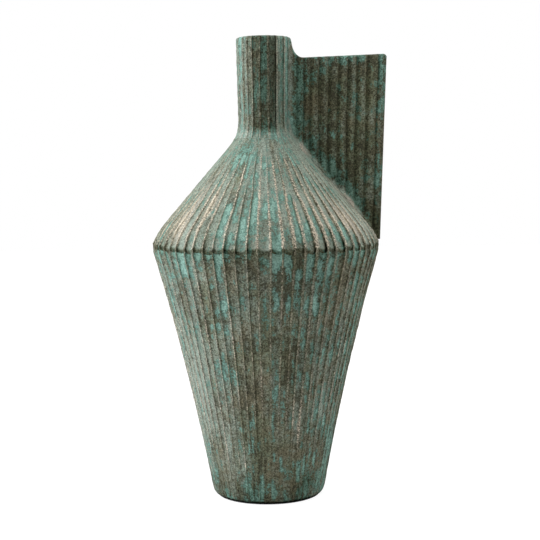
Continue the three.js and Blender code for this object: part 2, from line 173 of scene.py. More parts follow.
# Fin: a plate fluted on both faces, with its outer edge leaning outwards
FIN_HALF = 0.0055
FIN_OUTER_FOOT = RING_RADIUS + 0.001
FIN_OUTER_TOP = RING_RADIUS + 0.0088
FIN_TOP_HEIGHT = TOTAL_HEIGHT - 0.0177
FIN_TOP_SLOPE = 0.033
FIN_LOWEST = RING_HEIGHT + 0.0015
FIN_EDGE_ROUND = 0.003
FIN_CORNER_ROUND = 0.004
FIN_NECK_FILLET = 0.008
FIN_FOOT_FILLET = 0.004
FIN_SWEEP_WIDTH = 0.012
FIN_BLANK_DEPTH = 0.005
FIN_FOOT_BAND = 0.014
# Ridges on the fin between its root and its outer edge, as distances from the axis half
# way up, and the pitch at which streaks are laid out on it
FIN_RIDGES = (0.0392, 0.0452, 0.0545, 0.0638, 0.0733, 0.0828, 0.0915, 0.1018, 0.1125)
FIN_PITCH = 0.0093
FIN_FLUTE_COLUMNS = 16
# Rows up one face: over the band at its foot, up the wall and round the top edge
FIN_FOOT_ROWS = 14
FIN_WALL_ROWS = 84
FIN_EDGE_ROWS = 7
# The rounding of the top edge is drawn out on a slope, up to this much
FIN_STEEPEST = 2.5
# The fillets run out over this length, by the top edge and by the ring
FIN_RUN_OUT = 0.012
# Ridges on the fin sway once in this length
FIN_SWAY_LENGTH = 0.11
# Lumps of metal left along the foot of the fin: distance from the axis, width and height
FIN_LUMPS = ((0.0385, 0.0055, 0.0042), (0.0520, 0.0060, 0.0008), (0.0860, 0.0065, 0.0045))

# Discs under the foot: lines across, then edge rounding, height of the waves and material
DISC_LINES = 48
PLATE_FINISH = (0.0006, 0.0003, CASTING)
FELT_FINISH = (0.0004, 0.0, FELT)

# Studio: soft lights as place and size, the point they are turned to, the floor's half
# width, and the camera's sensor and nearest distance
LEFT_LIGHT = ((-1.25, -0.12, 0.75), (1.2, 1.4))
RIGHT_LIGHT = ((1.25, 0.35, 0.75), (0.9, 1.4))
TOP_LIGHT = ((0.05, -0.35, 1.58), (1.1, 1.1))
LIT_POINT = (0.0, 0.0, 0.25)
FLOOR_REACH = 4.0
SENSOR_WIDTH = 36.0
NEAREST = 0.05
WHITE = (1.0, 1.0, 1.0, 1.0)

# Places that follow from the profile
BODY_CONE_TOP = SEAM_HEIGHT - BODY_BAND
KNEE_HEIGHT = RING_HEIGHT + KNEE_RISE
KNEE_RADIUS = RING_RADIUS - KNEE_INSET
CONE_ANGLE = math.atan(CONE_SLOPE)
CORNER_HEIGHT = KNEE_HEIGHT + (KNEE_RADIUS - NECK_RADIUS) / CONE_SLOPE
SWEEP_REACH = ROOT_SWEEP * math.tan(CONE_ANGLE / 2)
SWEEP_START_HEIGHT = CORNER_HEIGHT - SWEEP_REACH * math.cos(CONE_ANGLE)
SWEEP_END_HEIGHT = CORNER_HEIGHT + SWEEP_REACH
GIRTH_REGISTER_RADIUS = SEAM_RADIUS - FLUTE_DEPTH - GIRTH_LIP
NECK_REGISTER_RADIUS = NECK_BORE_RADIUS + NECK_SPIGOT_WALL + JOINT_GAP

# Sizes of the lumps in the patina: mottle, cloud, drift, and streaks drawn along the flutes
MOTTLE_SIZE = 0.0065
CLOUD_SIZE = 0.045
DRIFT_SIZE = 0.028
DRAWN_SIZE = 0.0060
BANDS_SIZE = 0.018
# Soot and painted shade are multiplied into the patina with this tint
SOOT_AND_SHADE_TINT = (0.94, 1.0, 0.72, 1.0)
# Sizes of the lumps in the bare casting and in the felt
CASTING_MOTTLE_SIZE = 0.008
FIBRE_SIZE = 0.0006
PILLING_SIZE = 0.004
# Streaks of patina are laid out on a cylinder of this radius, drawn out along the flutes
STREAK_RADIUS = 0.100
STREAK_DRAW = 0.27
FIN_STREAK_DRAW = 0.42
# Runs of verdigris laid in single flutes: flute to the right of the first ridge, lowest
# and highest place, and strength
BODY_RUNS = (
    (-13, 0.216, 0.262, 0.25), (-11, 0.188, 0.226, 0.18), (-9, 0.190, 0.262, 0.30),
    (-9, 0.090, 0.184, 0.25), (-7, 0.096, 0.150, 0.32), (-6, 0.176, 0.262, 0.40),
    (-6, 0.104, 0.160, 0.32), (-5, 0.194, 0.262, 0.50), (-5, 0.108, 0.188, 0.32),
    (-2, 0.004, 0.034, 0.50), (0, 0.186, 0.262, 0.34), (1, 0.172, 0.254, 0.38),
    (1, 0.090, 0.116, 0.35), (1, 0.032, 0.054, 0.40), (2, 0.196, 0.242, 0.40),
    (3, 0.218, 0.262, 0.25), (4, 0.176, 0.258, 0.30), (4, 0.016, 0.044, 0.40),
    (5, 0.206, 0.250, 0.22), (8, 0.054, 0.118, 0.40), (0, 0.003, 0.020, 0.35),
    (0, 0.042, 0.058, 0.30), (0, 0.072, 0.096, 0.30), (5, 0.028, 0.050, 0.40),
    (7, 0.034, 0.052, 0.40), (6, 0.003, 0.022, 0.30), (-6, 0.046, 0.062, 0.35),
    (-5, 0.046, 0.066, 0.25), (-2, 0.034, 0.044, 0.30), (10, 0.010, 0.060, 0.25),
    (-11, 0.010, 0.060, 0.25),
)
SHOULDER_RUNS = (
    (-6, 0.324, 0.354, 0.35), (-5, 0.262, 0.304, 0.45), (-4, 0.262, 0.276, 0.45),
    (-4, 0.324, 0.350, 0.30), (-3, 0.262, 0.290, 0.60), (-2, 0.262, 0.334, 0.40),
    (-1, 0.262, 0.308, 0.30), (0, 0.262, 0.296, 0.25), (1, 0.262, 0.282, 0.35),
    (3, 0.262, 0.286, 0.25), (5, 0.262, 0.280, 0.35), (10, 0.298, 0.345, 0.30),
    (-3, 0.296, 0.330, 0.35), (-1, 0.326, 0.342, 0.40), (3, 0.314, 0.330, 0.25),
    (-8, 0.262, 0.278, 0.45), (-8, 0.306, 0.330, 0.20), (2, 0.262, 0.290, 0.25),
    (4, 0.262, 0.298, 0.25), (6, 0.262, 0.290, 0.30), (7, 0.262, 0.284, 0.30),
    (8, 0.262, 0.276, 0.25),
)
# A run thins out downwards over this reach, or over this share of a short run
RUN_FADE = 0.030
RUN_FADE_SHARE = 0.4
# Patches rubbed pale: flute, height, width in flutes, length and strength
BODY_PATCHES = (
    (3.9, 0.080, 0.6, 0.022, 0.80), (2.9, 0.094, 0.5, 0.014, 0.50),
    (-4.5, 0.048, 0.8, 0.014, 0.50), (-7.0, 0.060, 1.6, 0.030, 0.35),
    (-0.8, 0.130, 0.8, 0.030, 0.30), (-3.8, 0.150, 1.4, 0.030, 0.25),
    (-10.0, 0.120, 2.4, 0.060, 0.35), (9.0, 0.100, 1.6, 0.050, 0.30),
)
SHOULDER_PATCHES = (
    (7.6, 0.290, 1.6, 0.020, 0.80), (9.6, 0.284, 1.6, 0.016, 0.60),
    (11.0, 0.274, 1.4, 0.012, 0.40), (5.0, 0.284, 1.6, 0.018, 0.40),
    (-9.6, 0.320, 1.6, 0.026, 0.55), (-6.9, 0.304, 1.3, 0.018, 0.70),
    (-12.0, 0.286, 2.2, 0.022, 0.55), (-9.4, 0.280, 1.8, 0.016, 0.60),
    (3.0, 0.304, 1.6, 0.012, 0.40), (-7.4, 0.270, 1.4, 0.012, 0.40),
)
# Dark smudges on the body, laid out likewise
BODY_SMUDGES = (
    (5.0, 0.014, 1.5, 0.012, 0.40), (6.8, 0.024, 1.3, 0.008, 0.50),
    (-3.6, 0.012, 2.0, 0.010, 0.30), (-1.6, 0.065, 1.0, 0.030, 0.22),
    (-0.9, 0.246, 0.6, 0.005, 0.50), (2.4, 0.244, 0.6, 0.006, 0.40),
    (6.5, 0.226, 1.0, 0.010, 0.30), (-0.5, 0.190, 0.6, 0.020, 0.25),
    (2.0, 0.150, 2.5, 0.020, 0.15), (8.6, 0.236, 0.4, 0.003, 0.60),
)
# Verdigris, and painted shade, in the flutes on the front of the neck, from its first ridge on
NECK_FLUTE_VERDIGRIS = (0.24, 0.10, -0.20, 0.15, 0.35, -0.05, 0.15, 0.25)
NECK_FLUTE_SHADE = (0.00, 0.10, 0.15, 0.65, 0.80, 0.95, 0.35, 0.05)


def paint(name, description, red, green, blue):
    """A colour that the user can change, as linear values."""
    return FloatVectorProperty(
        name=name, description=description, subtype="COLOR", size=4,
        default=(red, green, blue, 1.0), min=0.0, max=1.0)


class VaseFluteSettings(bpy.types.PropertyGroup):
    """How the fluting is cut."""

    depth: FloatProperty(
        name="Flute depth", description="Depth of a hollow as a share of its width",
        default=0.17, min=0.0, max=0.4, subtype="FACTOR")
    deepest: FloatProperty(
        name="Deepest flute", description="No hollow is cut deeper than this",
        default=0.0019, min=0.0, unit="LENGTH")
    fin_depth: FloatProperty(
        name="Fin flute depth", description="Depth of the hollows on the fin",
        default=0.0013, min=0.0, unit="LENGTH")
    uneven: FloatProperty(
        name="Uneven spacing", description="How far a ridge is off its place, in flute widths",
        default=0.075, min=0.0, max=0.3, subtype="FACTOR")
    wander: FloatProperty(
        name="Wander", description="How far a ridge wanders along its length, in flute widths",
        default=0.030, min=0.0, max=0.3, subtype="FACTOR")
    ridge_round: FloatProperty(
        name="Ridge wear", description="How much the crest of a ridge is worn round",
        default=0.10, min=0.01, max=1.0, subtype="FACTOR")
    skin_relief: FloatProperty(
        name="Skin relief", description="Depth of the uneven cast skin",
        default=0.00045, min=0.0, unit="LENGTH")
    seed: IntProperty(
        name="Seed", description="Starts the hand-cut irregularities", default=7, min=0)


class VasePatinaSettings(bpy.types.PropertyGroup):
    """Colours of the finish, as linear values."""

    umber: paint("Umber", "Darkest metal, beside the ridges", 0.056, 0.055, 0.032)
    olive: paint("Olive", "Bare faces of the hollows", 0.159, 0.161, 0.097)
    earth: paint("Earth", "Warmer metal, here and there", 0.172, 0.152, 0.096)
    bloom_and_sheen: paint("Bloom", "Grey-green haze over the metal", 0.228, 0.270, 0.221)
    # The haze colour, also laid on as painted sheen and highlight on the lit sides
    dust: paint("Dust", "Pale haze where the shoulder is rubbed", 0.308, 0.279, 0.229)
    deep_teal: paint("Deep teal", "Thin verdigris", 0.098, 0.186, 0.148)
    bright_teal: paint("Bright teal", "Thick verdigris", 0.212, 0.352, 0.296)
    tan: paint("Tan", "Worn ridges", 0.496, 0.430, 0.332)
    casting: paint("Casting", "Darkened metal inside and under the vase", 0.075, 0.068, 0.052)
    felt: paint("Felt", "Felt under the foot", 0.002, 0.002, 0.002)
    grain: FloatProperty(
        name="Grain", description="Size of the cast grain", default=0.0018, min=0.0001,
        unit="LENGTH")


class VaseStudioSettings(bpy.types.PropertyGroup):
    """Camera and soft studio light."""

    camera_place: FloatVectorProperty(
        name="Camera place", description="Where the camera stands", subtype="TRANSLATION",
        unit="LENGTH", size=3, default=(0.00386, -1.296, 0.3375))
    camera_pitch: FloatProperty(
        name="Camera pitch", description="How far the camera looks down",
        default=math.radians(4.63), unit="ROTATION")
    camera_roll: FloatProperty(
        name="Camera roll", description="How far the camera is turned about its view",
        default=math.radians(-0.71), unit="ROTATION")
    lens: FloatProperty(
        name="Lens", description="Focal length in millimetres on a 36 mm sensor",
        default=83.85, min=10.0, unit="CAMERA")
    left_watts: FloatProperty(
        name="Left light", description="Power of the soft light on the left", default=32.5,
        min=0.0, unit="POWER")
    left_colour: FloatVectorProperty(
        name="Left colour", description="Colour of the soft light on the left", subtype="COLOR",
        size=3, default=(0.965, 1.0, 1.07), min=0.0, soft_max=1.0)
    right_watts: FloatProperty(
        name="Right light", description="Power of the soft light on the right", default=12.6,
        min=0.0, unit="POWER")
    top_watts: FloatProperty(
        name="Top light", description="Power of the soft light overhead", default=17.6,
        min=0.0, unit="POWER")
    ambient: FloatProperty(
        name="Ambient", description="Strength of the light from all round", default=0.27,
        min=0.0, max=1.0, subtype="FACTOR")


def quarter_circle(run, radius):
    """How far a quarter circle has left its first line: the radius, less the root of
    radius squared minus run squared, with the run kept between nothing and the radius."""
    kept = np.clip(run, 0.0, radius)
    return radius - np.sqrt(radius ** 2 - kept ** 2)


def smooth(value):
    """Smooth step of a value from 0 to 1: three times its square less twice its cube."""
    kept = np.clip(value, 0.0, 1.0)
    return kept * kept * (3.0 - 2.0 * kept)


def rise(value, start, reach):
    """Smooth step of a value that begins at the start and is complete a reach further."""
    return smooth((value - start) / reach)


def soft_spot(distance, width):
    """A soft bump of height 1: e to the power of minus the squared distance over the width."""
    return np.exp(-(distance / width) ** 2)


def facing(angle, degrees):
    """Share from 0 to 1 by how far an angle about the axis faces a direction, in degrees
    to the right of the front: the cosine of the angle between them, kept above nothing."""
    return np.clip(np.cos(angle - FRONT - math.radians(degrees)), 0.0, 1.0)


def body_radius(height):
    """Straight line from foot to seam, drawn in by a parabola, then an upright band."""
    share = np.clip((height - FOOT_HEIGHT) / (BODY_CONE_TOP - FOOT_HEIGHT), 0.0, 1.0)
    straight = FOOT_RADIUS + (SEAM_RADIUS - FOOT_RADIUS) * share
    return straight - BODY_HOLLOW * 4.0 * share * (1.0 - share)


def upper_radius(height):
    """Leaning band up to the ring, a parabola to the knee, a straight cone, a quarter
    circle that sweeps into the neck, and a neck that flares a little in a straight line."""
    below_ring = (RING_HEIGHT - height) / (RING_HEIGHT - SEAM_HEIGHT)
    band = RING_RADIUS - (RING_RADIUS - SEAM_RADIUS) * below_ring
    up_knee = (height - RING_HEIGHT) / KNEE_RISE
    first_slope = 2.0 * KNEE_INSET - CONE_SLOPE * KNEE_RISE
    knee = RING_RADIUS - first_slope * up_knee - (KNEE_INSET - first_slope) * up_knee ** 2
    cone = KNEE_RADIUS - CONE_SLOPE * (height - KNEE_HEIGHT)
    sweep = NECK_RADIUS + quarter_circle(SWEEP_END_HEIGHT - height, ROOT_SWEEP)
    up_neck = (height - SWEEP_END_HEIGHT) / (TOTAL_HEIGHT - SWEEP_END_HEIGHT)
    neck = NECK_RADIUS + NECK_FLARE * up_neck
    limits = (RING_HEIGHT, KNEE_HEIGHT, SWEEP_START_HEIGHT, SWEEP_END_HEIGHT)
    below = [height < limit for limit in limits]
    return np.select(below, [band, knee, cone, sweep], neck)


def outer_radius(height):
    """Radius over the ridges anywhere on the vase."""
    return np.where(height <= SEAM_HEIGHT, body_radius(height), upper_radius(height))


def seat_height(radius):
    """Height at which shoulder and neck root have this radius: the upper profile read
    the other way round, by interpolation between close steps."""
    steps = np.linspace(RING_HEIGHT, SWEEP_END_HEIGHT, 600)
    return np.interp(-np.asarray(radius), -upper_radius(steps), steps)


def path_length(height):
    """Length along the profile from the floor up to a height, summed over close steps."""
    steps = np.linspace(0.0, TOTAL_HEIGHT, 1200)
    pieces = np.hypot(np.diff(steps), np.diff(outer_radius(steps)))
    return np.interp(height, steps, np.concatenate(([0.0], np.cumsum(pieces))))


def skin_waves(around, along, seed):
    """Uneven cast skin from 0 to 1: a sum of seeded cosine waves, each a whole number of
    turns round the vase and some rate along it, squeezed into range."""
    rng = np.random.default_rng(seed)
    total = np.zeros(np.broadcast(around, along).shape)
    for _ in range(SKIN_WAVES):
        turns = rng.integers(-SKIN_TURNS, SKIN_TURNS + 1)
        rate = rng.uniform(-SKIN_RATE, SKIN_RATE)
        total += np.cos(turns * around + rate * along + rng.uniform(0.0, math.tau))
    return 0.5 + 0.5 * np.tanh(total / math.sqrt(SKIN_WAVES))


def across_flute(columns):
    """Places across one flute from its ridge on, closer together near both ridges: an
    even run mixed with half a cosine wave."""
    even = np.arange(columns) / columns
    return 0.4 * even + 0.3 * (1.0 - np.cos(math.pi * even))


def hollow_shape(place, flatness, lean, ridge_round):
    """Depth of a hollow across its width, 0 at its ridges and 1 at its floor: one less a
    power of the distance from the middle. The lean moves the floor to one side, and the
    ridge is rounded by the root of the square plus a small square."""
    moved = place ** lean
    sharp = 1.0 - np.abs(2.0 * moved - 1.0) ** flatness
    rounded = np.sqrt(sharp ** 2 + ridge_round ** 2) - ridge_round
    return rounded / (math.sqrt(1.0 + ridge_round ** 2) - ridge_round)


def ridge_wander(count, along, seed):
    """Two slow seeded sine waves along each ridge, from -1 to 1."""
    rng = np.random.default_rng(seed)
    phases = rng.uniform(0.0, math.tau, (2, count))
    lengths = rng.uniform(*WANDER_LENGTHS, (2, count))
    turns = math.tau * along[:, None]
    long_wave = np.sin(turns / lengths[0] + phases[0])
    short_wave = np.sin(turns / (0.4 * lengths[1]) + phases[1])
    return 0.7 * long_wave + 0.3 * short_wave


def even_ridges(along, cut):
    """Angle of every ridge of body and shoulder in every row: evenly spaced, each moved
    by a seeded share of the pitch, plus its wander."""
    rng = np.random.default_rng(cut.seed)
    pitch = math.tau / FLUTES
    off_place = rng.uniform(-cut.uneven, cut.uneven, FLUTES)
    wander = cut.wander * ridge_wander(FLUTES, along, cut.seed + 1)
    return FLUTE_START + pitch * (np.arange(FLUTES) + off_place + wander)


def ridge_widths(ridges):
    """Angle from each ridge to the next, with the last one going on to the first."""
    following = np.roll(ridges, -1, axis=1)
    following[:, -1] += math.tau
    return following - ridges


def fading_ridges(seed):
    """Ridges that die out low on the shoulder: about every fourth, never two together."""
    rng = np.random.default_rng(seed)
    fourths = np.arange(1, FLUTES - 2, 4)
    return fourths + rng.integers(0, 3, len(fourths))


def close_up(ridges, radii, fading, seed):
    """Draws the ridges on both sides of each fading one towards it, by a smooth step of
    a share of the pitch, where it has died out. Gives the ridges and what still stands
    of each fading one in every row."""
    rng = np.random.default_rng(seed)
    end_radius = rng.uniform(*LOW_RIDGE_ENDS, len(fading))
    gone = smooth((end_radius - radii[:, None]) / RIDGE_END_REACH + 1.0)
    shift = CLOSING_UP * math.tau / FLUTES * gone
    moved = ridges.copy()
    moved[:, fading - 1] += shift
    moved[:, (fading + 1) % FLUTES] -= shift
    return moved, 1.0 - gone


def ridge_stand(count, along, seed):
    """How much of each ridge stands: 1, less a small seeded wave along its length, less
    chips where the product of two short seeded waves is above nothing."""
    rng = np.random.default_rng(seed)
    phases = rng.uniform(0.0, math.tau, (3, count))
    length = rng.uniform(*WORN_LENGTHS, count)
    worn = rng.uniform(0.0, RIDGE_WORN, count)
    short = rng.uniform(*CHIP_LENGTHS, (2, count))
    turns = math.tau * along[:, None]
    wave = 0.5 + 0.5 * np.sin(turns / length + phases[0])
    chips = np.sin(turns / short[0] + phases[1]) * np.sin(turns / short[1] + phases[2])
    return 1.0 - worn * wave - RIDGE_CHIPS * np.maximum(chips, 0.0)


def flute_depths(ridges, radii, cut):
    """Depth of the hollows at each ridge: a share of the mean width of the two flutes
    beside it, held to the deepest cut, times a seeded factor."""
    rng = np.random.default_rng(cut.seed + 2)
    widths = ridge_widths(ridges) * radii[:, None]
    mean_width = 0.5 * (widths + np.roll(widths, 1, axis=1))
    factor = rng.uniform(*DEPTH_FACTORS, (1, ridges.shape[1]))
    return np.minimum(cut.depth * mean_width, cut.deepest) * factor


def flute_field(heights, radii, ridges, depths, stands, columns, cut):
    """Fluted surface on a grid of rows and columns. Between two ridges the angle runs
    evenly, and the radius is the envelope less the depth times the floor, which is 0 on
    a standing ridge and 1 in a hollow or where a ridge has died out. The floor of a
    hollow lies on the side that faces the front, by a power that follows the cosine of
    its angle and dies away at the sides. The tone of a flute is a seeded level plus a
    slow wave along it, and its gutter is painted shade, a soft spot beside the steep ridge."""
    rng = np.random.default_rng(cut.seed + 3)
    rows, flutes = ridges.shape
    flatness = rng.uniform(*FLATNESS, (1, flutes, 1))
    across = np.cos(ridges[:1, :, None])
    side = np.tanh(3.0 * across) * np.sqrt(1.0 - across ** 2)
    spread = rng.uniform(-LEAN_SPREAD, LEAN_SPREAD, (1, flutes, 1))
    lean = np.exp(FLOOR_LEAN * side + spread)
    place = across_flute(columns)[None, None, :]
    hollow = hollow_shape(place, flatness, lean, cut.ridge_round)
    widths = ridge_widths(ridges)[..., None]
    opened = np.clip(widths * radii[:, None, None] / FULL_FLUTE_WIDTH, 0.0, 1.0)
    stand = stands[..., None]
    stand = stand + (np.roll(stands, -1, axis=1)[..., None] - stand) * place
    on_left = smooth(0.5 - 2.5 * across)
    from_steep = on_left * place + (1.0 - on_left) * (1.0 - place)
    depth = depths[..., None]
    depth = depth + (np.roll(depths, -1, axis=1)[..., None] - depth) * place
    floor = 1.0 - stand * (1.0 - hollow * opened)
    shape = (rows, flutes * columns)
    index = np.arange(flutes)[:, None] + place[0]
    along = path_length(heights)
    level = rng.uniform(-0.7, 0.7, flutes) + 0.4 * ridge_wander(flutes, along, cut.seed + 9)
    bright = rng.uniform(-0.4, 0.3, flutes) + 0.3 * ridge_wander(flutes, along, cut.seed + 10)
    nearest = np.round(index).astype(int) % flutes
    return {
        "angle": (ridges[..., None] + widths * place).reshape(shape),
        "radius": (radii[:, None, None] - depth * floor).reshape(shape),
        "height": np.repeat(heights[:, None], shape[1], axis=1),
        "along": np.repeat(along[:, None], shape[1], axis=1),
        "floor": floor.reshape(shape),
        "index": np.repeat(index.reshape(1, -1), rows, axis=0),
        "tone": np.repeat(level, columns, axis=1),
        # Painted shade beside the steep wall of each ridge
        "painted_gutter_shade": (stand * soft_spot(from_steep - 0.09, 0.09)).reshape(shape),
        "bright": 1.0 + bright[:, nearest.reshape(-1)],
        "flutes": flutes,
    }


def press_skin(field, cut):
    """Takes the uneven cast skin off the radius, so that nothing stands proud."""
    skin = skin_waves(field["angle"], field["along"], cut.seed + 4)
    field["radius"] = field["radius"] - cut.skin_relief * skin


def dip_girth(field):
    """Lowers the crease between body and shoulder in each hollow, more towards its right
    and unlike from flute to flute: by the floor times a soft spot centred on the ring."""
    near_ring = soft_spot(field["height"] - RING_HEIGHT, GIRTH_DIP_REACH)
    slant = 0.45 + 0.8 * (field["index"] % 1.0)
    amount = GIRTH_DIP * slant * (1.0 + 0.5 * np.sin(2.4 * np.floor(field["index"])))
    field["height"] = field["height"] - amount * field["floor"] * near_ring


def rounded_edge(radius, steps):
    """Distances from the flat face and insets of an edge rounded by a quarter circle,
    from the side to the flat face: the radius times one less the sine or the cosine."""
    turn = np.linspace(0.0, math.pi / 2, steps)
    return radius * (1.0 - np.sin(turn)), radius * (1.0 - np.cos(turn))


def near_foot(height):
    """How near the foot a height is: 1 at the foot, and a smooth step down to 0."""
    return 1.0 - rise(height, FOOT_FADE_START, FOOT_FADE_REACH)


def level_foot(field):
    """Draws the floor towards its middle near the foot, so that the patina follows the
    shallow flutes there less."""
    floor = field["floor"]
    field["floor"] = floor + 0.6 * near_foot(field["height"]) * (0.6 - floor)


def lower_body_field(cut):
    """Rows up the lower body: a rounded foot, the hollow-sided cone and the band."""
    distance, inset = rounded_edge(FOOT_ROUND, 8)
    distance = distance * FOOT_ROUND_HEIGHT / FOOT_ROUND
    lower = np.linspace(FOOT_HEIGHT + FOOT_ROUND_HEIGHT, SEAM_HEIGHT - FINE_ROWS_REACH, 66)[1:]
    upper = np.linspace(SEAM_HEIGHT - FINE_ROWS_REACH, SEAM_HEIGHT, 13)[1:]
    heights = np.concatenate([FOOT_HEIGHT + distance[::-1], lower, upper])
    insets = np.concatenate([inset[::-1], np.zeros(len(lower) + len(upper))])
    radii = body_radius(heights)
    along = path_length(heights)
    ridges = even_ridges(along, cut)
    depths = flute_depths(ridges, radii, cut) * (1.0 - FOOT_FADE * near_foot(heights))[:, None]
    stands = ridge_stand(FLUTES, along, cut.seed + 5)
    field = flute_field(heights, radii, ridges, depths, stands, FLUTE_COLUMNS, cut)
    field["radius"] = field["radius"] - insets[:, None]
    dip_girth(field)
    press_skin(field, cut)
    level_foot(field)
    return field


def shoulder_field(cut):
    """Rows up the shoulder: band, knee, cone and the start of the sweep. Ridges die out at
    seeded radii, some of them low down, and the hollows fade towards the neck."""
    heights = np.concatenate([
        np.linspace(SEAM_HEIGHT, RING_HEIGHT, 5),
        np.linspace(RING_HEIGHT, KNEE_HEIGHT, 18)[1:],
        np.linspace(KNEE_HEIGHT, SWEEP_START_HEIGHT, 46)[1:],
        np.linspace(SWEEP_START_HEIGHT, NECK_SEAT_HEIGHT, 8)[1:],
    ])
    radii = upper_radius(heights)
    along = path_length(heights)
    fading = fading_ridges(cut.seed + 6)
    ridges, standing = close_up(even_ridges(along, cut), radii, fading, cut.seed + 7)
    fade = rise(radii, radii[-1], RIDGE_END_REACH)
    shallow = SHALLOW_SHARE * facing(ridges, SHALLOW_SIDE) ** 2
    shallow = shallow * rise(heights, RING_HEIGHT, SHALLOW_REACH)[:, None]
    depths = flute_depths(ridges, radii, cut) * fade[:, None] * (1.0 - shallow)
    rng = np.random.default_rng(cut.seed + 8)
    end_radius = rng.uniform(*HIGH_RIDGE_ENDS, FLUTES)
    stands = ridge_stand(FLUTES, along, cut.seed + 5)
    stands = stands * rise(radii[:, None], end_radius, RIDGE_END_REACH)
    stands[:, fading] *= standing
    field = flute_field(heights, radii, ridges, depths, stands, FLUTE_COLUMNS, cut)
    dip_girth(field)
    press_skin(field, cut)
    return field


def neck_ridges(along, cut):
    """Angle of every neck ridge in every row: the uneven front ones, then even ones round
    the back, plus their wander."""
    first, last = NECK_FRONT_RIDGES[0], NECK_FRONT_RIDGES[-1]
    back = np.linspace(last, first + 360.0, NECK_BACK_FLUTES + 1)[1:-1]
    angles = FRONT + np.radians(np.concatenate([NECK_FRONT_RIDGES, back]))
    wander = ridge_wander(len(angles), along, cut.seed + 11)
    return angles + cut.wander * math.tau / len(angles) * wander


def neck_field(cut):
    """Rows up the neck: the rest of the sweep, the flaring tube and the rounded rim."""
    distance, inset = rounded_edge(RIM_ROUND, 8)
    straight = np.linspace(SWEEP_END_HEIGHT, TOTAL_HEIGHT - RIM_ROUND, 76)[1:-1]
    heights = np.concatenate([
        np.linspace(NECK_SEAT_HEIGHT, SWEEP_END_HEIGHT, 14), straight, TOTAL_HEIGHT - distance,
    ])
    insets = np.concatenate([np.zeros(len(heights) - len(inset)), inset])
    radii = upper_radius(heights)
    along = path_length(heights)
    ridges = neck_ridges(along, cut)
    depths = NECK_DEPTH_SHARE * flute_depths(ridges, np.full(len(heights), NECK_RADIUS), cut)
    stands = ridge_stand(ridges.shape[1], along, cut.seed + 12)
    field = flute_field(heights, radii, ridges, depths, stands, NECK_FLUTE_COLUMNS, cut)
    field["radius"] = field["radius"] - insets[:, None]
    press_skin(field, cut)
    return field


def body_inside():
    """Radius and height down the inside of the lower body: register, wall, ledge, rebate."""
    register_foot = SEAM_HEIGHT - GIRTH_SPIGOT_DEPTH - JOINT_GAP
    ledge_top = PLATE_TOP + LEDGE_THICKNESS
    rebate = PLATE_RADIUS + JOINT_GAP
    heights = np.linspace(register_foot, ledge_top, 7)
    wall = body_radius(heights) - FLUTE_DEPTH - WALL
    return [
        (GIRTH_REGISTER_RADIUS, SEAM_HEIGHT), (GIRTH_REGISTER_RADIUS, register_foot),
        *zip(wall, heights),
        (rebate - LEDGE_WIDTH, ledge_top), (rebate - LEDGE_WIDTH, PLATE_TOP),
        (rebate, PLATE_TOP), (rebate, FOOT_HEIGHT),
    ]


def shoulder_inside():
    """Radius and height down the inside of the shoulder: collar, wall and spigot."""
    collar_foot = NECK_SEAT_HEIGHT - NECK_SPIGOT_DEPTH - JOINT_GAP
    spigot = GIRTH_REGISTER_RADIUS - JOINT_GAP
    spigot_foot = SEAM_HEIGHT - GIRTH_SPIGOT_DEPTH
    heights = np.linspace(SWEEP_START_HEIGHT - WALL, RING_HEIGHT + KNEE_RISE / 3, 7)
    wall = upper_radius(heights) - FLUTE_DEPTH - WALL / math.cos(CONE_ANGLE)
    return [
        (NECK_REGISTER_RADIUS, NECK_SEAT_HEIGHT), (NECK_REGISTER_RADIUS, collar_foot),
        *zip(wall, heights),
        (spigot - GIRTH_SPIGOT_WALL, SEAM_HEIGHT), (spigot - GIRTH_SPIGOT_WALL, spigot_foot),
        (spigot, spigot_foot), (spigot, SEAM_HEIGHT),
    ]


def neck_inside():
    """Radius and height down the bore of the neck: rounded lip, bore and spigot."""
    distance, inset = rounded_edge(LIP_ROUND, 5)
    lip = zip(NECK_BORE_RADIUS + inset[::-1], TOTAL_HEIGHT - distance[::-1])
    spigot_foot = NECK_SEAT_HEIGHT - NECK_SPIGOT_DEPTH
    bore = zip(np.full(6, NECK_BORE_RADIUS), np.linspace(TOTAL_HEIGHT - 0.02, spigot_foot, 6))
    spigot = NECK_BORE_RADIUS + NECK_SPIGOT_WALL
    return [*lip, *bore, (spigot, spigot_foot), (spigot, NECK_SEAT_HEIGHT)]


def flutes_from(field, flute):
    """How many flutes a point stands to the right of a place, the shorter way round."""
    half = FLUTES / 2
    return (field["index"] - flute + half) % FLUTES - half


def laid_runs(field, runs):
    """Runs of verdigris, each an oblong in one flute that thins out downwards: the
    strength times a soft spot across and a smooth step at either end."""
    total = np.zeros_like(field["height"])
    for flute, low, high, strength in runs:
        fade = min(RUN_FADE, RUN_FADE_SHARE * (high - low))
        top_end = 1.0 - rise(field["height"], high - 0.004, 0.008)
        ends = rise(field["height"], low, fade) * top_end
        total += strength * soft_spot(flutes_from(field, flute + 0.5), 0.42) * ends
    return total


def worn_patches(field, patches):
    """Patches that are rubbed pale or smudged: the strength times soft spots across the
    flutes and up the height."""
    total = np.zeros_like(field["height"])
    for flute, height, flutes_wide, length, strength in patches:
        across = soft_spot(flutes_from(field, flute), flutes_wide)
        total += strength * across * soft_spot(field["height"] - height, length)
    return total


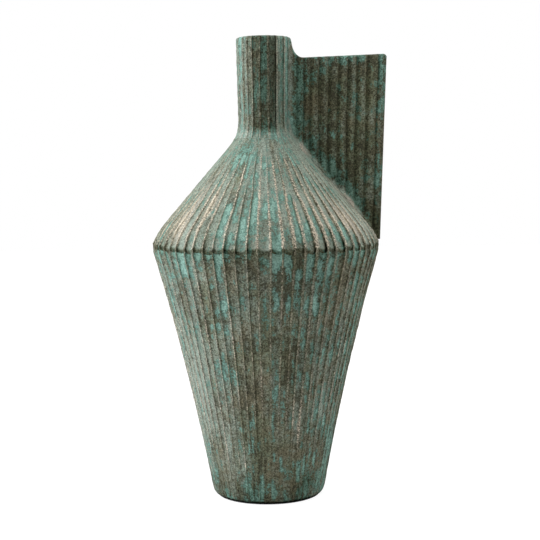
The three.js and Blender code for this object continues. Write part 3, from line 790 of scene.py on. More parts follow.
def body_zones(field):
    """Where the patina gathers on the lower body: verdigris high up, at the foot and at the
    sides, haze on the left with painted highlight and sheen on the lit left side and at the
    silhouettes, soot as smudges and darkening near the foot, painted shade under the girth
    and beside the ridges, and a painted shadow under the foot."""
    angle, height, tone = field["angle"], field["height"], field["tone"]
    # Painted shade under the overhang of the girth ring
    under_girth = soft_spot(height - RING_HEIGHT + 0.007, 0.007)
    upper = rise(height, 0.16, 0.10)
    foot = soft_spot(height - FOOT_HEIGHT, 0.035)
    # Painted shadow where the foot meets the floor
    underside = soft_spot(height - FOOT_HEIGHT, 0.0021)
    low = near_foot(height)
    aside = 1.0 - facing(angle, 0)
    # Towards the silhouettes and on the lit left side the haze is laid on thicker as painted
    # sheen and highlight
    edges = facing(angle, -95) ** 4 + 0.8 * facing(angle, 95) ** 4
    flank = facing(angle, -88) ** 6 * (1.0 - upper)
    left = facing(angle, -75) ** 2
    painted_gutter_shade = field["painted_gutter_shade"] * (1.0 - 0.9 * left) * (1.0 - 0.7 * low)
    runs = laid_runs(field, BODY_RUNS)
    patches = worn_patches(field, BODY_PATCHES)
    worn = 0.28 + 0.12 * left + 0.03 * facing(angle, 85) ** 2 - 0.10 * facing(angle, 25) ** 2
    return {
        "verdigris": 0.13 * tone + 0.06 * upper + 0.19 * foot + low * (0.02 + 0.16 * aside)
        + 0.26 * under_girth + 0.07 * facing(angle, 60) ** 2 + 0.16 * edges - 0.22 * flank
        + (0.8 + 0.5 * low) * runs - 0.4 * patches,
        # Haze, with painted highlight and sheen on the lit left side and at the silhouettes
        "bloom_and_sheen": 0.20 + 0.12 * tone + 0.25 * left + 0.20 * edges + 0.5 * patches - 0.10 * low
        + 0.07 * soft_spot(height - 0.12, 0.06),
        # Painted shade under the girth and beside the ridges, a painted shadow under the foot,
        # darkening near the foot and smudges
        "soot_and_shade": under_girth * (0.10 + 0.26 * field["floor"]) + 0.28 * foot + 0.55 * painted_gutter_shade
        + 1.6 * underside + worn_patches(field, BODY_SMUDGES),
        "wear_and_highlight": worn * field["bright"] + 0.7 * patches + 0.24 * flank,
    }


def shoulder_zones(field):
    """Where the patina gathers on the shoulder: pale and worn above the ring, more so on
    the left, with a smooth haze at the neck root, and painted shade below the ring and beside the
    ridges."""
    angle, height, painted_gutter_shade = field["angle"], field["height"], field["painted_gutter_shade"]
    above_ring = rise(field["along"], path_length(RING_HEIGHT) - 0.001, 0.0025)
    root = rise(height, 0.335, 0.030)
    left = facing(angle, -70)
    right = facing(angle, 38) ** 5
    by_fin = facing(angle, 90) ** 4
    patches = worn_patches(field, SHOULDER_PATCHES)
    faded = 1.0 - 0.5 * by_fin
    worn = (0.46 * field["bright"] + 0.80 * patches + 0.10 * right - 0.08 * left) * faded
    # How strong the painted shade beside the ridges is
    shade_strength = (0.65 + 0.35 * right) * (1.0 - root) * (1.0 - 0.85 * left ** 2) * faded
    # Painted shade deepened in the crease just above the ring
    notch = soft_spot(height - RING_HEIGHT - 0.001, 0.003)
    green = 0.22 * field["tone"] + 0.08 + 0.10 * facing(angle, -12) ** 8
    green = green - 0.13 * left - 0.3 * patches - 0.3 * by_fin
    hazy = 0.43 - 0.02 * left + 0.03 * root + 0.15 * patches + 0.3 * by_fin
    return {
        "verdigris": above_ring * green + 1.2 * laid_runs(field, SHOULDER_RUNS),
        "bloom_and_sheen": 0.22 + above_ring * hazy,
        # Painted shade on the band below the ring and beside the ridges, and soot
        "soot_and_shade": (1.0 - above_ring) * (0.22 + 0.45 * field["floor"]) + 0.19 * left + 0.04 * root
        + painted_gutter_shade * (shade_strength + 0.45 * notch + 0.45 * patches),
        "wear_and_highlight": 0.30 + above_ring * (worn * (1.0 - 0.85 * root) - 0.15),
    }


def neck_zones(field):
    """Where the patina gathers on the neck: by flute in front, where painted shade makes it
    darkest, with painted highlight in the haze and wear on both sides, and blotched beside the
    fin."""
    angle, height = field["angle"], field["height"]
    in_front = len(NECK_FLUTE_SHADE)
    flute = np.minimum(field["index"], in_front).astype(int)
    by_hand = np.append(NECK_FLUTE_VERDIGRIS, 0.0)[flute]
    # Painted shade in each front flute, darkest in the middle of the front
    soot_and_shade = np.append(NECK_FLUTE_SHADE, 0.15)[flute]
    right = facing(angle, 75)
    left = facing(angle, -60)
    root = 1.0 - rise(height, NECK_SEAT_HEIGHT + 0.002, 0.010)
    upper = rise(height, 0.39, 0.03)
    behind = 0.15 * (flute == in_front) * field["tone"]
    painted_gutter_shade = (0.25 + 0.35 * right - 0.20 * left ** 2) * field["painted_gutter_shade"]
    return {
        "verdigris": by_hand * upper + behind + 0.28 * right + 0.08 * left,
        # Painted highlight: haze laid on thicker on both sides, where the light falls
        "bloom_and_sheen": 0.24 + 0.75 * right + 0.45 * root - 0.15 * soot_and_shade + 0.35 * facing(angle, -70) ** 2,
        # Painted shade in the front flutes and beside the ridges, less at the root
        "soot_and_shade": (0.90 * soot_and_shade + painted_gutter_shade) * (1.0 - root),
        # Painted highlight: more wear on both sides, where the light falls
        "wear_and_highlight": 0.10 + 0.22 * left ** 2 + 0.16 * right,
    }


def ring_faces(rows, columns):
    """Four-sided faces of a grid that closes on itself both ways, facing outwards when
    its rows run up the outside and down the inside."""
    row, column = np.meshgrid(np.arange(rows), np.arange(columns), indexing="ij")
    up = (row + 1) % rows
    on = (column + 1) % columns
    here, above = row * columns, up * columns
    corners = [here + column, here + on, above + on, above + column]
    return np.stack(corners, axis=-1).reshape(-1, 4)


def pillow_faces(lines, rows):
    """Four-sided faces of two like grids, one in front and one behind, joined all round
    their border. Faces point outwards when line, row and front form a right-handed set."""
    line, row = np.meshgrid(np.arange(lines - 1), np.arange(rows - 1), indexing="ij")
    near = line * rows + row
    far = near + lines * rows
    front = np.stack([near, near + rows, near + rows + 1, near + 1], axis=-1).reshape(-1, 4)
    back = np.stack([far + rows, far, far + 1, far + rows + 1], axis=-1).reshape(-1, 4)
    behind = lines * rows
    low = np.arange(lines - 1) * rows
    high = low + rows - 1
    first = np.arange(rows - 1)
    last = first + (lines - 1) * rows
    border = [
        np.stack([low + rows, low, low + behind, low + rows + behind], axis=-1),
        np.stack([high, high + rows, high + rows + behind, high + behind], axis=-1),
        np.stack([last, last + behind, last + behind + 1, last + 1], axis=-1),
        np.stack([first + 1, first + 1 + behind, first + behind, first], axis=-1),
    ]
    return np.concatenate([front, back, *border])


def add_object(name, data):
    """Puts a mesh, light or camera into the scene as an object."""
    made = bpy.data.objects.new(name, data)
    bpy.context.scene.collection.objects.link(made)
    return made


def build_piece(name, points, faces, attributes, finish):
    """Puts points, four-sided faces and point attributes into a new object at the origin.
    Faces are smooth, and edges that turn by more than a limit stay sharp."""
    mesh = bpy.data.meshes.new(name)
    mesh.vertices.add(len(points))
    mesh.vertices.foreach_set("co", points.astype(np.float32).ravel())
    mesh.loops.add(faces.size)
    mesh.loops.foreach_set("vertex_index", faces.astype(np.int32).ravel())
    mesh.polygons.add(len(faces))
    mesh.polygons.foreach_set("loop_start", np.arange(0, faces.size, 4, dtype=np.int32))
    mesh.update(calc_edges=True)
    for label, values in attributes.items():
        layer = mesh.attributes.new(label, "FLOAT_VECTOR", "POINT")
        layer.data.foreach_set("vector", values.astype(np.float32).ravel())
    mesh.shade_smooth()
    mesh.set_sharp_from_angle(angle=SHARP_ANGLE)
    if mesh.validate():
        raise RuntimeError(f"{name} has faulty faces")
    mesh.materials.append(bpy.data.materials[finish])
    return add_object(name, mesh)


def seat_piece(piece, node):
    """Rides on the body and stands for a CAD node, which it hides."""
    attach(piece, BODY)
    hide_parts(node)


def round_points(angle, radius, height):
    """Points from angle, radius and height about the upright axis."""
    return np.stack([radius * np.cos(angle), radius * np.sin(angle), height], axis=-1)


def patina_attributes(floor, wear_and_highlight, indoors, zones, streak):
    """Point attributes of the patina: relief holds floor, wear with some painted highlight, and
    indoors; zones holds verdigris, bloom with some painted sheen, and soot with painted
    shade; streak is a place that follows the flutes."""
    gathered = np.stack([zones["verdigris"], zones["bloom_and_sheen"], zones["soot_and_shade"]], axis=-1)
    return {
        "relief": np.stack([floor, wear_and_highlight, indoors], axis=-1).reshape(-1, 3),
        "zones": gathered.reshape(-1, 3),
        "streak": streak.reshape(-1, 3),
    }


def shell_piece(name, field, inside, zones):
    """A closed shell: the fluted rows outside, then turned rows inside, given as radius
    and height from the top down, with as many columns."""
    inner_radius, inner_height = np.array(inside).T
    columns = field["angle"].shape[1]
    inner_count = len(inner_radius)

    def extend(rows, inner_rows):
        """Outside rows followed by inside ones."""
        return np.concatenate([rows, np.broadcast_to(inner_rows, (inner_count, columns))])

    angle = extend(field["angle"], field["angle"][-1])
    radius = extend(field["radius"], inner_radius[:, None])
    height = extend(field["height"], inner_height[:, None])
    turn = math.tau * extend(field["index"], field["index"][-1]) / field["flutes"]
    floor = extend(field["floor"], 0.5)
    wear_and_highlight = extend(zones["wear_and_highlight"], 0.0)
    indoors = extend(np.zeros_like(field["angle"]), 1.0)
    spread = {label: extend(zones[label], 0.0) for label in ("verdigris", "bloom_and_sheen", "soot_and_shade")}
    drawn = path_length(height) * STREAK_DRAW
    streak = round_points(turn, np.full(turn.shape, STREAK_RADIUS), drawn)
    points = round_points(angle, radius, height).reshape(-1, 3)
    attributes = patina_attributes(floor, wear_and_highlight, indoors, spread, streak)
    return build_piece(name, points, ring_faces(*angle.shape), attributes, PATINA)


def fin_outer_edge(height):
    """Outer edge of the fin: a straight line that leans outwards going up."""
    share = (height - FIN_LOWEST) / (FIN_TOP_HEIGHT - FIN_LOWEST)
    return FIN_OUTER_FOOT + (FIN_OUTER_TOP - FIN_OUTER_FOOT) * share


def fin_top(x):
    """Top of the fin: a gently rising edge, a quarter ellipse up the neck to the rim's
    rounding, and a rounded outer corner."""
    neck_face = NECK_RADIUS + NECK_FLARE
    edge = FIN_TOP_HEIGHT - FIN_TOP_SLOPE * (FIN_OUTER_TOP - x)
    edge_at_neck = FIN_TOP_HEIGHT - FIN_TOP_SLOPE * (FIN_OUTER_TOP - neck_face)
    sweep = quarter_circle(neck_face + FIN_SWEEP_WIDTH - x, FIN_SWEEP_WIDTH) / FIN_SWEEP_WIDTH
    corner = quarter_circle(x - FIN_OUTER_TOP + FIN_CORNER_ROUND, FIN_CORNER_ROUND)
    return edge + sweep * (TOTAL_HEIGHT - RIM_ROUND - edge_at_neck) - corner


def fin_root(height):
    """Where the fillet beside the neck leaves the fin's face, by Pythagoras on the circle
    centre, and how far in it touches the neck."""
    centre = upper_radius(np.maximum(height, SWEEP_END_HEIGHT)) + FIN_NECK_FILLET
    end = np.sqrt(centre ** 2 - (FIN_HALF + FIN_NECK_FILLET) ** 2)
    return end, end * FIN_NECK_FILLET / centre


def fin_lines():
    """Upright lines across one face, as columns: their flute, place in it, share of the
    fillet's length inside the root, and distance from the end of the outer rounding."""
    root = np.linspace(1.15, 0.0, 14)[:-1]
    last = len(FIN_RIDGES)
    places = across_flute(FIN_FLUTE_COLUMNS)
    flute, place = np.meshgrid(np.arange(last + 1), places, indexing="ij")
    past_end = FIN_EDGE_ROUND - rounded_edge(FIN_EDGE_ROUND, FIN_EDGE_ROWS)[0]
    inside, outside = np.zeros(len(root)), np.zeros(FIN_EDGE_ROWS)
    lines = {
        "flute": np.concatenate([inside, flute.ravel(), outside + last]).astype(int),
        "place": np.concatenate([inside, place.ravel(), outside + 1.0]),
        "inward": np.concatenate([root, np.zeros(flute.size), outside]),
        "past_end": np.concatenate([inside, np.zeros(flute.size), past_end]),
    }
    return {label: values[:, None] for label, values in lines.items()}


def fin_rows():
    """Rows up one face: -1 buried in the shoulder, 0 to 1 up the foot, 1 to 2 up the wall
    and 3 round the top edge, with the distance that each is kept below the top."""
    foot, wall = np.linspace(0.0, 1.0, FIN_FOOT_ROWS), np.linspace(1.0, 2.0, FIN_WALL_ROWS)
    steps = np.concatenate([[-1.0], foot, wall[1:], np.full(FIN_EDGE_ROWS - 1, 3.0)])
    from_top = np.full(len(steps), FIN_EDGE_ROUND)
    from_top[-FIN_EDGE_ROWS:] = rounded_edge(FIN_EDGE_ROUND, FIN_EDGE_ROWS)[0]
    return steps, from_top


def fin_unevenness(side, cut):
    """What is uneven about one face of the fin, all seeded: how far each ridge on the back
    is off its place, the phase and size of each ridge's sway, and the flatness, lean and
    depth of each hollow."""
    rng = np.random.default_rng(cut.seed + 20 + side)
    ridges = len(FIN_RIDGES)
    return {
        "off_place": (side > 0) * rng.uniform(-0.0012, 0.0012, ridges),
        "phase": rng.uniform(0.0, math.tau, ridges + 2),
        "sway": np.pad(rng.uniform(0.0002, 0.0005, ridges), 1),
        "flatness": rng.uniform(1.9, 2.6, ridges + 1),
        "lean": rng.uniform(0.42, 0.60, ridges + 1),
        "depth": rng.uniform(0.85, 1.15, ridges + 1),
    }


def fin_ridge(ridge, height, uneven):
    """Distance of a ridge of the fin from the axis: its share, taken half way up, of the
    way from the root to the outer rounding, plus a sine wave up the fin."""
    middle = 0.5 * (FIN_LOWEST + FIN_TOP_HEIGHT)
    root_middle, _ = fin_root(middle)
    span = fin_outer_edge(middle) - FIN_EDGE_ROUND - root_middle
    places = np.array(FIN_RIDGES) + uneven["off_place"]
    shares = np.concatenate([[0.0], (places - root_middle) / span, [1.0]])
    end, _ = fin_root(height)
    reach = fin_outer_edge(height) - FIN_EDGE_ROUND - end
    wave = np.sin(height * math.tau / FIN_SWAY_LENGTH + uneven["phase"][ridge])
    return end + reach * shares[ridge] + uneven["sway"][ridge] * wave


def fin_x(lines, height, uneven):
    """Distance of each point from the axis: its place between two ridges, less its share
    of the fillet, plus how far it is past the last ridge."""
    _, fillet = fin_root(height)
    left = fin_ridge(lines["flute"], height, uneven)
    right = fin_ridge(lines["flute"] + 1, height, uneven)
    return left + (right - left) * lines["place"] - lines["inward"] * fillet + lines["past_end"]


def fin_heights(x, seat, top, steps, from_top):
    """Heights of the rows: buried under the seat, evenly up the band at the foot, evenly
    up the wall, and round the top edge, whose rounding is drawn out by Pythagoras on the
    slope of the edge."""
    slope = (fin_top(x + 0.0005) - fin_top(x - 0.0005)) / 0.001
    steepness = np.minimum(np.sqrt(1.0 + slope ** 2), FIN_STEEPEST)
    band_top = seat + FIN_FOOT_BAND
    round_start = top - FIN_EDGE_ROUND * steepness
    parts = [
        np.maximum(seat - FIN_BLANK_DEPTH, FIN_LOWEST),
        seat + FIN_FOOT_BAND * steps,
        band_top + (round_start - band_top) * (steps - 1.0),
    ]
    return np.select([steps < 0.0, steps <= 1.0, steps <= 2.0], parts, top - from_top * steepness)


def fin_swell(x, heights, above, top, side):
    """What the fillets by the neck and at the foot add to half the thickness: quarter
    circles, joined by the cube root of their cubes' sum. The one at the foot waves and
    has lumps."""
    end, fillet = fin_root(heights)
    at_neck = quarter_circle(np.minimum(end - x, 1.05 * fillet), FIN_NECK_FILLET)
    at_neck = at_neck * (1.0 - rise(heights, top - FIN_RUN_OUT, FIN_RUN_OUT))
    radius = FIN_FOOT_FILLET + 0.0012 * np.sin(x * 410.0 + side) * np.sin(x * 173.0)
    for centre, width, size in FIN_LUMPS:
        radius = radius + size * soft_spot(x - centre, width)
    radius = radius * (1.0 - rise(x, RING_RADIUS - FIN_RUN_OUT, 0.010)) + 0.0003
    at_foot = quarter_circle(radius - above, radius)
    return np.cbrt(at_neck ** 3 + at_foot ** 3)


def fin_face(side, cut):
    """One face of the fin as lines by rows. Half the thickness is the plate less its
    hollow, plus the fillets, less a quarter circle at the outer and upper edges. Distance
    from the axis, height and half thickness follow from one another, so they are worked
    out three times over."""
    uneven = fin_unevenness(side, cut)
    lines = fin_lines()
    steps, from_top = fin_rows()
    flute, place = lines["flute"], lines["place"]
    border = (lines["inward"] > 0.0) | (lines["past_end"] > 0.0)
    lean = uneven["lean"][flute] ** (-side)
    hollow = hollow_shape(place, uneven["flatness"][flute], lean, cut.ridge_round)
    hollow = np.where(border, 0.0, hollow)
    depth = cut.fin_depth * uneven["depth"][flute] * smooth((flute + place + 0.5) / 2.0)
    run = np.minimum(np.hypot(lines["past_end"], FIN_EDGE_ROUND - from_top), FIN_EDGE_ROUND)
    plate = FIN_HALF - depth * hollow - quarter_circle(run, FIN_EDGE_ROUND)
    half = np.full(run.shape, FIN_HALF)
    heights = np.full(run.shape, 0.5 * (FIN_LOWEST + FIN_TOP_HEIGHT))
    for _ in range(3):
        x = fin_x(lines, heights, uneven)
        seat = np.maximum(seat_height(np.hypot(x, half)), FIN_LOWEST + 0.001)
        top = fin_top(x)
        heights = fin_heights(x, seat, top, steps, from_top)
        above = np.maximum(heights - seat, 0.0) * math.sin(CONE_ANGLE)
        half = plate + fin_swell(x, heights, above, top, side)
    from_steep = place if side < 0 else 1.0 - place
    across = (flute + place) * FIN_PITCH - lines["inward"] * FIN_NECK_FILLET + lines["past_end"]
    face = {
        "x": x, "y": side * half, "height": heights, "above": above, "below_top": top - heights,
        "from_neck": x - fin_root(heights)[0], "from_edge": fin_outer_edge(heights) - x,
        "floor": np.where(border, 0.6, 0.40 + 0.60 * hollow), "across": across,
        "shaded": np.where(border, 0.0, soft_spot(from_steep - 0.18, 0.24)),
        "lit": np.where(border, 0.0, soft_spot(from_steep - 0.78, 0.22)),
    }
    return {label: np.broadcast_to(values, x.shape) for label, values in face.items()}


def fin_zones(face):
    """Where the patina gathers on the fin: along its borders, over a plate darkened by painted
    shade that is darkest just behind each ridge, with a painted highlight on the lit side of
    each flute, a pale fillet and pale lumps at its foot."""
    x, above = face["x"], face["above"]
    from_neck, from_edge = face["from_neck"], face["from_edge"]
    neck_side = soft_spot(from_neck - 0.002, 0.009)
    foot_side = soft_spot(above - 0.006, 0.009)
    top_side = soft_spot(face["below_top"], 0.013)
    edge_side = soft_spot(from_edge - 0.003, 0.006)
    border = np.maximum.reduce([neck_side, foot_side, 0.9 * top_side, 0.9 * edge_side])
    on_neck = rise(-from_neck, 0.0015, 0.004)
    lumps = sum(size / 0.004 * soft_spot(x - centre, width) for centre, width, size in FIN_LUMPS)
    pale = np.clip(lumps * soft_spot(above, 0.004), 0.0, 1.0)
    rim = soft_spot(from_edge, 0.0012)
    corner = rise(x, 0.095, 0.02) * (1.0 - rise(face["height"], 0.295, 0.02))
    fillet = soft_spot(above, 0.003) * (1.0 - corner)
    # Painted shade over the whole plate, most just behind each ridge; darker too at the rim, the
    # lower outer corner and along the neck and the foot
    dark = 0.33 + 0.48 * face["shaded"] + 0.12 * rim + 0.3 * corner
    dark = dark + 0.18 * np.maximum(neck_side, foot_side)
    return {
        "verdigris": -0.08 + 0.60 * border - 0.25 * rim - 0.4 * corner - 0.1 * on_neck
        - 0.8 * pale - 0.3 * fillet,
        # Painted highlight on the lit side of each flute
        "bloom_and_sheen": -0.05 + pale + 0.26 * face["lit"] + 0.5 * on_neck + 0.55 * fillet,
        "soot_and_shade": dark * (1.0 - 0.9 * on_neck) * (1.0 - 0.9 * pale) * (1.0 - 0.8 * fillet),
        "wear_and_highlight": 0.9 * pale,
    }


def fin_piece(name, cut):
    """The fin: two fluted faces joined round their border."""
    sides = [fin_face(side, cut) for side in (-1, 1)]
    for face in sides:
        face.update(fin_zones(face))
    both = {label: np.stack([face[label] for face in sides]) for label in sides[0]}
    apart = np.broadcast_to(np.array([-0.05, 0.05])[:, None, None], both["x"].shape)
    drawn = path_length(TOTAL_HEIGHT) + both["height"] * FIN_STREAK_DRAW
    streak = np.stack([both["across"], apart, drawn], axis=-1)
    indoors = np.zeros_like(both["x"])
    attributes = patina_attributes(both["floor"], both["wear_and_highlight"], indoors, both, streak)
    points = np.stack([both["x"], both["y"], both["height"]], axis=-1).reshape(-1, 3)
    return build_piece(name, points, pillow_faces(*apart.shape[1:]), attributes, PATINA)


def disc_piece(name, node, edge_round, wave_height, finish):
    """A round disc in a node's box, of four-sided faces: a square grid drawn into a circle,
    where each coordinate is multiplied by the root of one less half the other's square. Its
    rim is rounded by quarter circles, and a seeded wave roughens the upper face."""
    low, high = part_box(node)
    radius = high.x
    across = np.sin(np.linspace(-math.pi / 2, math.pi / 2, DISC_LINES))
    u, v = np.meshgrid(across, across, indexing="ij")
    x = u * np.sqrt(1.0 - v ** 2 / 2.0)
    y = v * np.sqrt(1.0 - u ** 2 / 2.0)
    from_rim = radius * (1.0 - np.hypot(x, y))
    dropped = quarter_circle(edge_round - from_rim, edge_round)
    waves = wave_height * skin_waves(x * 3.0, y * radius, 31) * smooth(from_rim / 0.003)
    top = np.stack([x * radius, y * radius, high.z - dropped - waves], axis=-1)
    bottom = np.stack([x * radius, y * radius, low.z + dropped], axis=-1)
    points = np.concatenate([top.reshape(-1, 3), bottom.reshape(-1, 3)])
    return build_piece(name, points, pillow_faces(DISC_LINES, DISC_LINES), {}, finish)


class Graph:
    """Adds shader nodes to a material or a world and links them, so that a finish reads as
    steps."""

    def __init__(self, material):
        material.use_nodes = True
        self.tree = material.node_tree
        self.tree.nodes.clear()

    def put(self, socket, value):
        """Links an output to an input, or sets the input to a plain value."""
        if isinstance(value, bpy.types.NodeSocket):
            self.tree.links.new(value, socket)
        else:
            socket.default_value = value

    def node(self, kind, inputs=None, **settings):
        """A new node with its settings, and its inputs given by name or number."""
        made = self.tree.nodes.new(kind)
        for label, value in settings.items():
            setattr(made, label, value)
        for label, value in (inputs or {}).items():
            self.put(made.inputs[label], value)
        return made

    def math(self, operation, first, second):
        """One step of arithmetic."""
        return self.node("ShaderNodeMath", {0: first, 1: second}, operation=operation).outputs[0]

    def add(self, *values):
        """Sum of several values."""
        total = values[0]
        for value in values[1:]:
            total = self.math("ADD", total, value)
        return total

    def times(self, *values):
        """Product of several values."""
        product = values[0]
        for value in values[1:]:
            product = self.math("MULTIPLY", product, value)
        return product

    def swing(self, value, amount):
        """A noise value centred on nothing, times an amount."""
        return self.times(self.math("SUBTRACT", value, 0.5), amount)

    def line(self, value, low, high, first, last, kind="LINEAR"):
        """Straight-line map of a value between two limits, held at its ends."""
        made = self.node("ShaderNodeMapRange", {"Value": value}, interpolation_type=kind)
        limits = {"From Min": low, "From Max": high, "To Min": first, "To Max": last}
        for label, limit in limits.items():
            self.put(made.inputs[label], limit)
        return made.outputs[0]

    def ramp(self, value, low, high, first=0.0, last=1.0):
        """Smooth step of a value between two limits, from the first to the last result."""
        return self.line(value, low, high, first, last, "SMOOTHSTEP")

    def mix(self, share, first, second, blend="MIX"):
        """Two colours mixed by a share."""
        made = self.node("ShaderNodeMix", data_type="RGBA", blend_type=blend)
        sockets = {socket.identifier: socket for socket in made.inputs}
        self.put(sockets["Factor_Float"], share)
        self.put(sockets["A_Color"], first)
        self.put(sockets["B_Color"], second)
        return next(socket for socket in made.outputs if socket.identifier == "Result_Color")

    def shaded(self, colour, share, tint):
        """A colour multiplied by a tint, by a share."""
        return self.mix(share, colour, tint, "MULTIPLY")

    def noise(self, vector, size, detail=2.0, roughness=0.5):
        """Cloudy noise whose lumps are about as large as the size."""
        inputs = {"Vector": vector, "Scale": 1.0 / size, "Detail": detail, "Roughness": roughness}
        return self.node("ShaderNodeTexNoise", inputs).outputs["Fac"]

    def attribute(self, label):
        """A point attribute as a vector."""
        return self.node("ShaderNodeAttribute", attribute_name=label).outputs["Vector"]

    def split(self, label):
        """The three numbers of a point attribute."""
        return self.node("ShaderNodeSeparateXYZ", {"Vector": self.attribute(label)}).outputs[:]

    def place(self):
        """The place of a point in the vase's own coordinates."""
        return self.node("ShaderNodeTexCoord").outputs["Object"]

    def shader(self, kind, **inputs):
        """The output of a new shader node."""
        return self.node(kind, inputs).outputs[0]

    def by_ray(self, rays, usual, seen):
        """One shader for most rays, and another for those named."""
        path = self.node("ShaderNodeLightPath").outputs
        share = path[rays[0]]
        for ray in rays[1:]:
            share = self.math("MAXIMUM", share, path[ray])
        return self.node("ShaderNodeMixShader", {0: share, 1: usual, 2: seen}).outputs[0]

    def end(self, shader, kind="ShaderNodeOutputMaterial"):
        """Joins a shader to the output."""
        self.node(kind, {"Surface": shader})

    def finish(self, colour, roughness, bump, depth, **uniform):
        """Ends the material in a surface shader with a bump, and plain values by name."""
        normal = self.node("ShaderNodeBump", {"Height": bump, "Distance": depth, "Strength": 1.0})
        self.end(self.shader("ShaderNodeBsdfPrincipled", **{
            "Base Color": colour, "Roughness": roughness, "Normal": normal.outputs[0], **uniform,
        }))


def bare_metal(graph, mottle, colours):
    """Darkened metal, mottled between umber and casting."""
    return graph.mix(graph.ramp(mottle, 0.3, 0.7), colours.umber, colours.casting)


def patina_material(colours):
    """Verdigris over cast metal. From below: umber and olive metal, grey-green bloom with
    painted sheen on the lit sides, darker umber beside the ridges, teal verdigris in the hollows,
    tan where the ridges are worn and as painted highlight on the lit sides, and a coarse cast
    grain, pits, soot and painted shade over it all."""
    graph = Graph(bpy.data.materials.new(PATINA))
    place = graph.place()
    streak = graph.attribute("streak")
    floor, wear_and_highlight, indoors = graph.split("relief")
    verdigris, bloom_and_sheen, soot_and_shade = graph.split("zones")
    grain = graph.ramp(graph.noise(place, colours.grain, 2.0, 0.65), 0.34, 0.66)
    fine = graph.noise(place, colours.grain * 0.5, 1.0)
    chips = graph.ramp(graph.noise(place, colours.grain * 0.85, 2.0, 0.6), 0.38, 0.60)
    mottle = graph.noise(place, MOTTLE_SIZE, 4.0, 0.65)
    cloud = graph.noise(place, CLOUD_SIZE)
    drift = graph.noise(place, DRIFT_SIZE, 1.0)
    drawn = graph.noise(streak, DRAWN_SIZE, 4.0, 0.62)
    bands = graph.noise(streak, BANDS_SIZE)

    metal_level = graph.add(
        0.5, graph.swing(mottle, 0.8), graph.swing(drawn, 2.0), graph.swing(cloud, 0.8),
        graph.swing(grain, 0.25),
    )
    metal = graph.mix(graph.ramp(drift, 0.48, 0.66), colours.olive, colours.earth)
    colour = graph.mix(graph.ramp(metal_level, 0.15, 0.80), colours.umber, metal)

    # Haze, partly painted sheen and highlight on the lit sides
    bloom_and_sheen_level = graph.add(
        bloom_and_sheen, graph.swing(mottle, 1.4), graph.swing(bands, 1.4), graph.swing(cloud, 0.9),
        graph.swing(grain, 0.20),
    )
    rubbed = graph.add(
        wear_and_highlight, graph.swing(drawn, 1.2), graph.swing(floor, -1.1), graph.times(verdigris, -1.2),
    )
    haze = graph.mix(graph.ramp(rubbed, 0.44, 1.0, 0.0, 0.85), colours.bloom_and_sheen, colours.dust)
    colour = graph.mix(graph.ramp(bloom_and_sheen_level, 0.0, 1.0), colour, haze)

    # Darker umber on the walls just beside the ridges
    beside_ridge_umber = graph.times(
        graph.ramp(floor, 0.10, 0.30), graph.ramp(floor, 0.55, 0.90, 1.0, 0.0),
        graph.ramp(drawn, 0.35, 0.65, 0.0, 0.45), graph.line(bloom_and_sheen, 0.25, 0.70, 1.0, 0.45),
    )
    colour = graph.mix(beside_ridge_umber, colour, colours.umber)

    teal_level = graph.add(
        verdigris, graph.swing(drawn, 2.4), graph.swing(bands, 0.5), graph.swing(grain, 0.25),
        graph.swing(mottle, 1.7), graph.swing(drift, -1.2), graph.times(floor, 0.22),
    )
    in_hollow = graph.ramp(floor, 0.20, 0.60)
    veil = graph.times(graph.ramp(teal_level, -0.10, 0.45, 0.0, 0.13), in_hollow)
    colour = graph.mix(veil, colour, colours.deep_teal)
    teal_share = graph.times(graph.ramp(teal_level, 0.44, 0.55), in_hollow)
    teal = graph.mix(graph.ramp(teal_level, 0.46, 1.15), colours.deep_teal, colours.bright_teal)
    colour = graph.mix(teal_share, colour, teal)

    ridge_level = graph.add(floor, graph.swing(chips, 0.45), graph.swing(drawn, 0.9))
    ridge_limit = graph.times(wear_and_highlight, wear_and_highlight, 0.50)
    ridge = graph.ramp(ridge_level, ridge_limit, graph.add(ridge_limit, 0.12), 1.0, 0.0)
    tan_share = graph.times(ridge, graph.line(wear_and_highlight, 0.0, 0.65, 0.10, 1.0))
    colour = graph.mix(tan_share, colour, colours.tan)
    bruised = graph.times(
        graph.ramp(floor, 0.05, 0.40, 1.0, 0.0), graph.ramp(chips, 0.30, 0.70),
        graph.line(wear_and_highlight, 0.3, 0.6, 0.22, 1.0), graph.line(teal_level, 0.2, 0.8, 1.0, 0.6),
    )
    colour = graph.mix(bruised, colour, colours.umber)

    coarse = graph.line(bloom_and_sheen, 0.15, 0.60, 1.35, 0.95)
    contrast = graph.times(coarse, graph.line(teal_share, 0.0, 1.0, 0.45, 0.30))
    speckle = graph.add(graph.times(graph.swing(grain, 1.0), contrast), 1.0)
    pits = graph.ramp(fine, 0.30, 0.42, graph.line(bloom_and_sheen, 0.15, 0.60, 0.38, 0.45), 1.0)
    # Soot and painted shade, varied along the drawn streaks
    soot_and_shade_level = graph.times(soot_and_shade, graph.line(drawn, 0.35, 0.65, 0.65, 1.25))
    shade = graph.times(speckle, pits, graph.line(soot_and_shade_level, 0.0, 1.35, 1.0, 0.03))
    grey = graph.node("ShaderNodeCombineXYZ", {"X": shade, "Y": shade, "Z": shade}).outputs[0]
    colour = graph.shaded(colour, 1.0, grey)
    colour = graph.shaded(colour, graph.times(soot_and_shade_level, 0.5), SOOT_AND_SHADE_TINT)
    colour = graph.mix(indoors, colour, bare_metal(graph, mottle, colours))

    roughness = graph.line(teal_share, 0.0, 1.0, 0.62, 0.85)
    relief = graph.add(
        graph.times(grain, coarse, 0.5), graph.times(fine, coarse, 0.4),
        graph.times(mottle, 1.2), graph.times(teal_share, 0.3),
    )
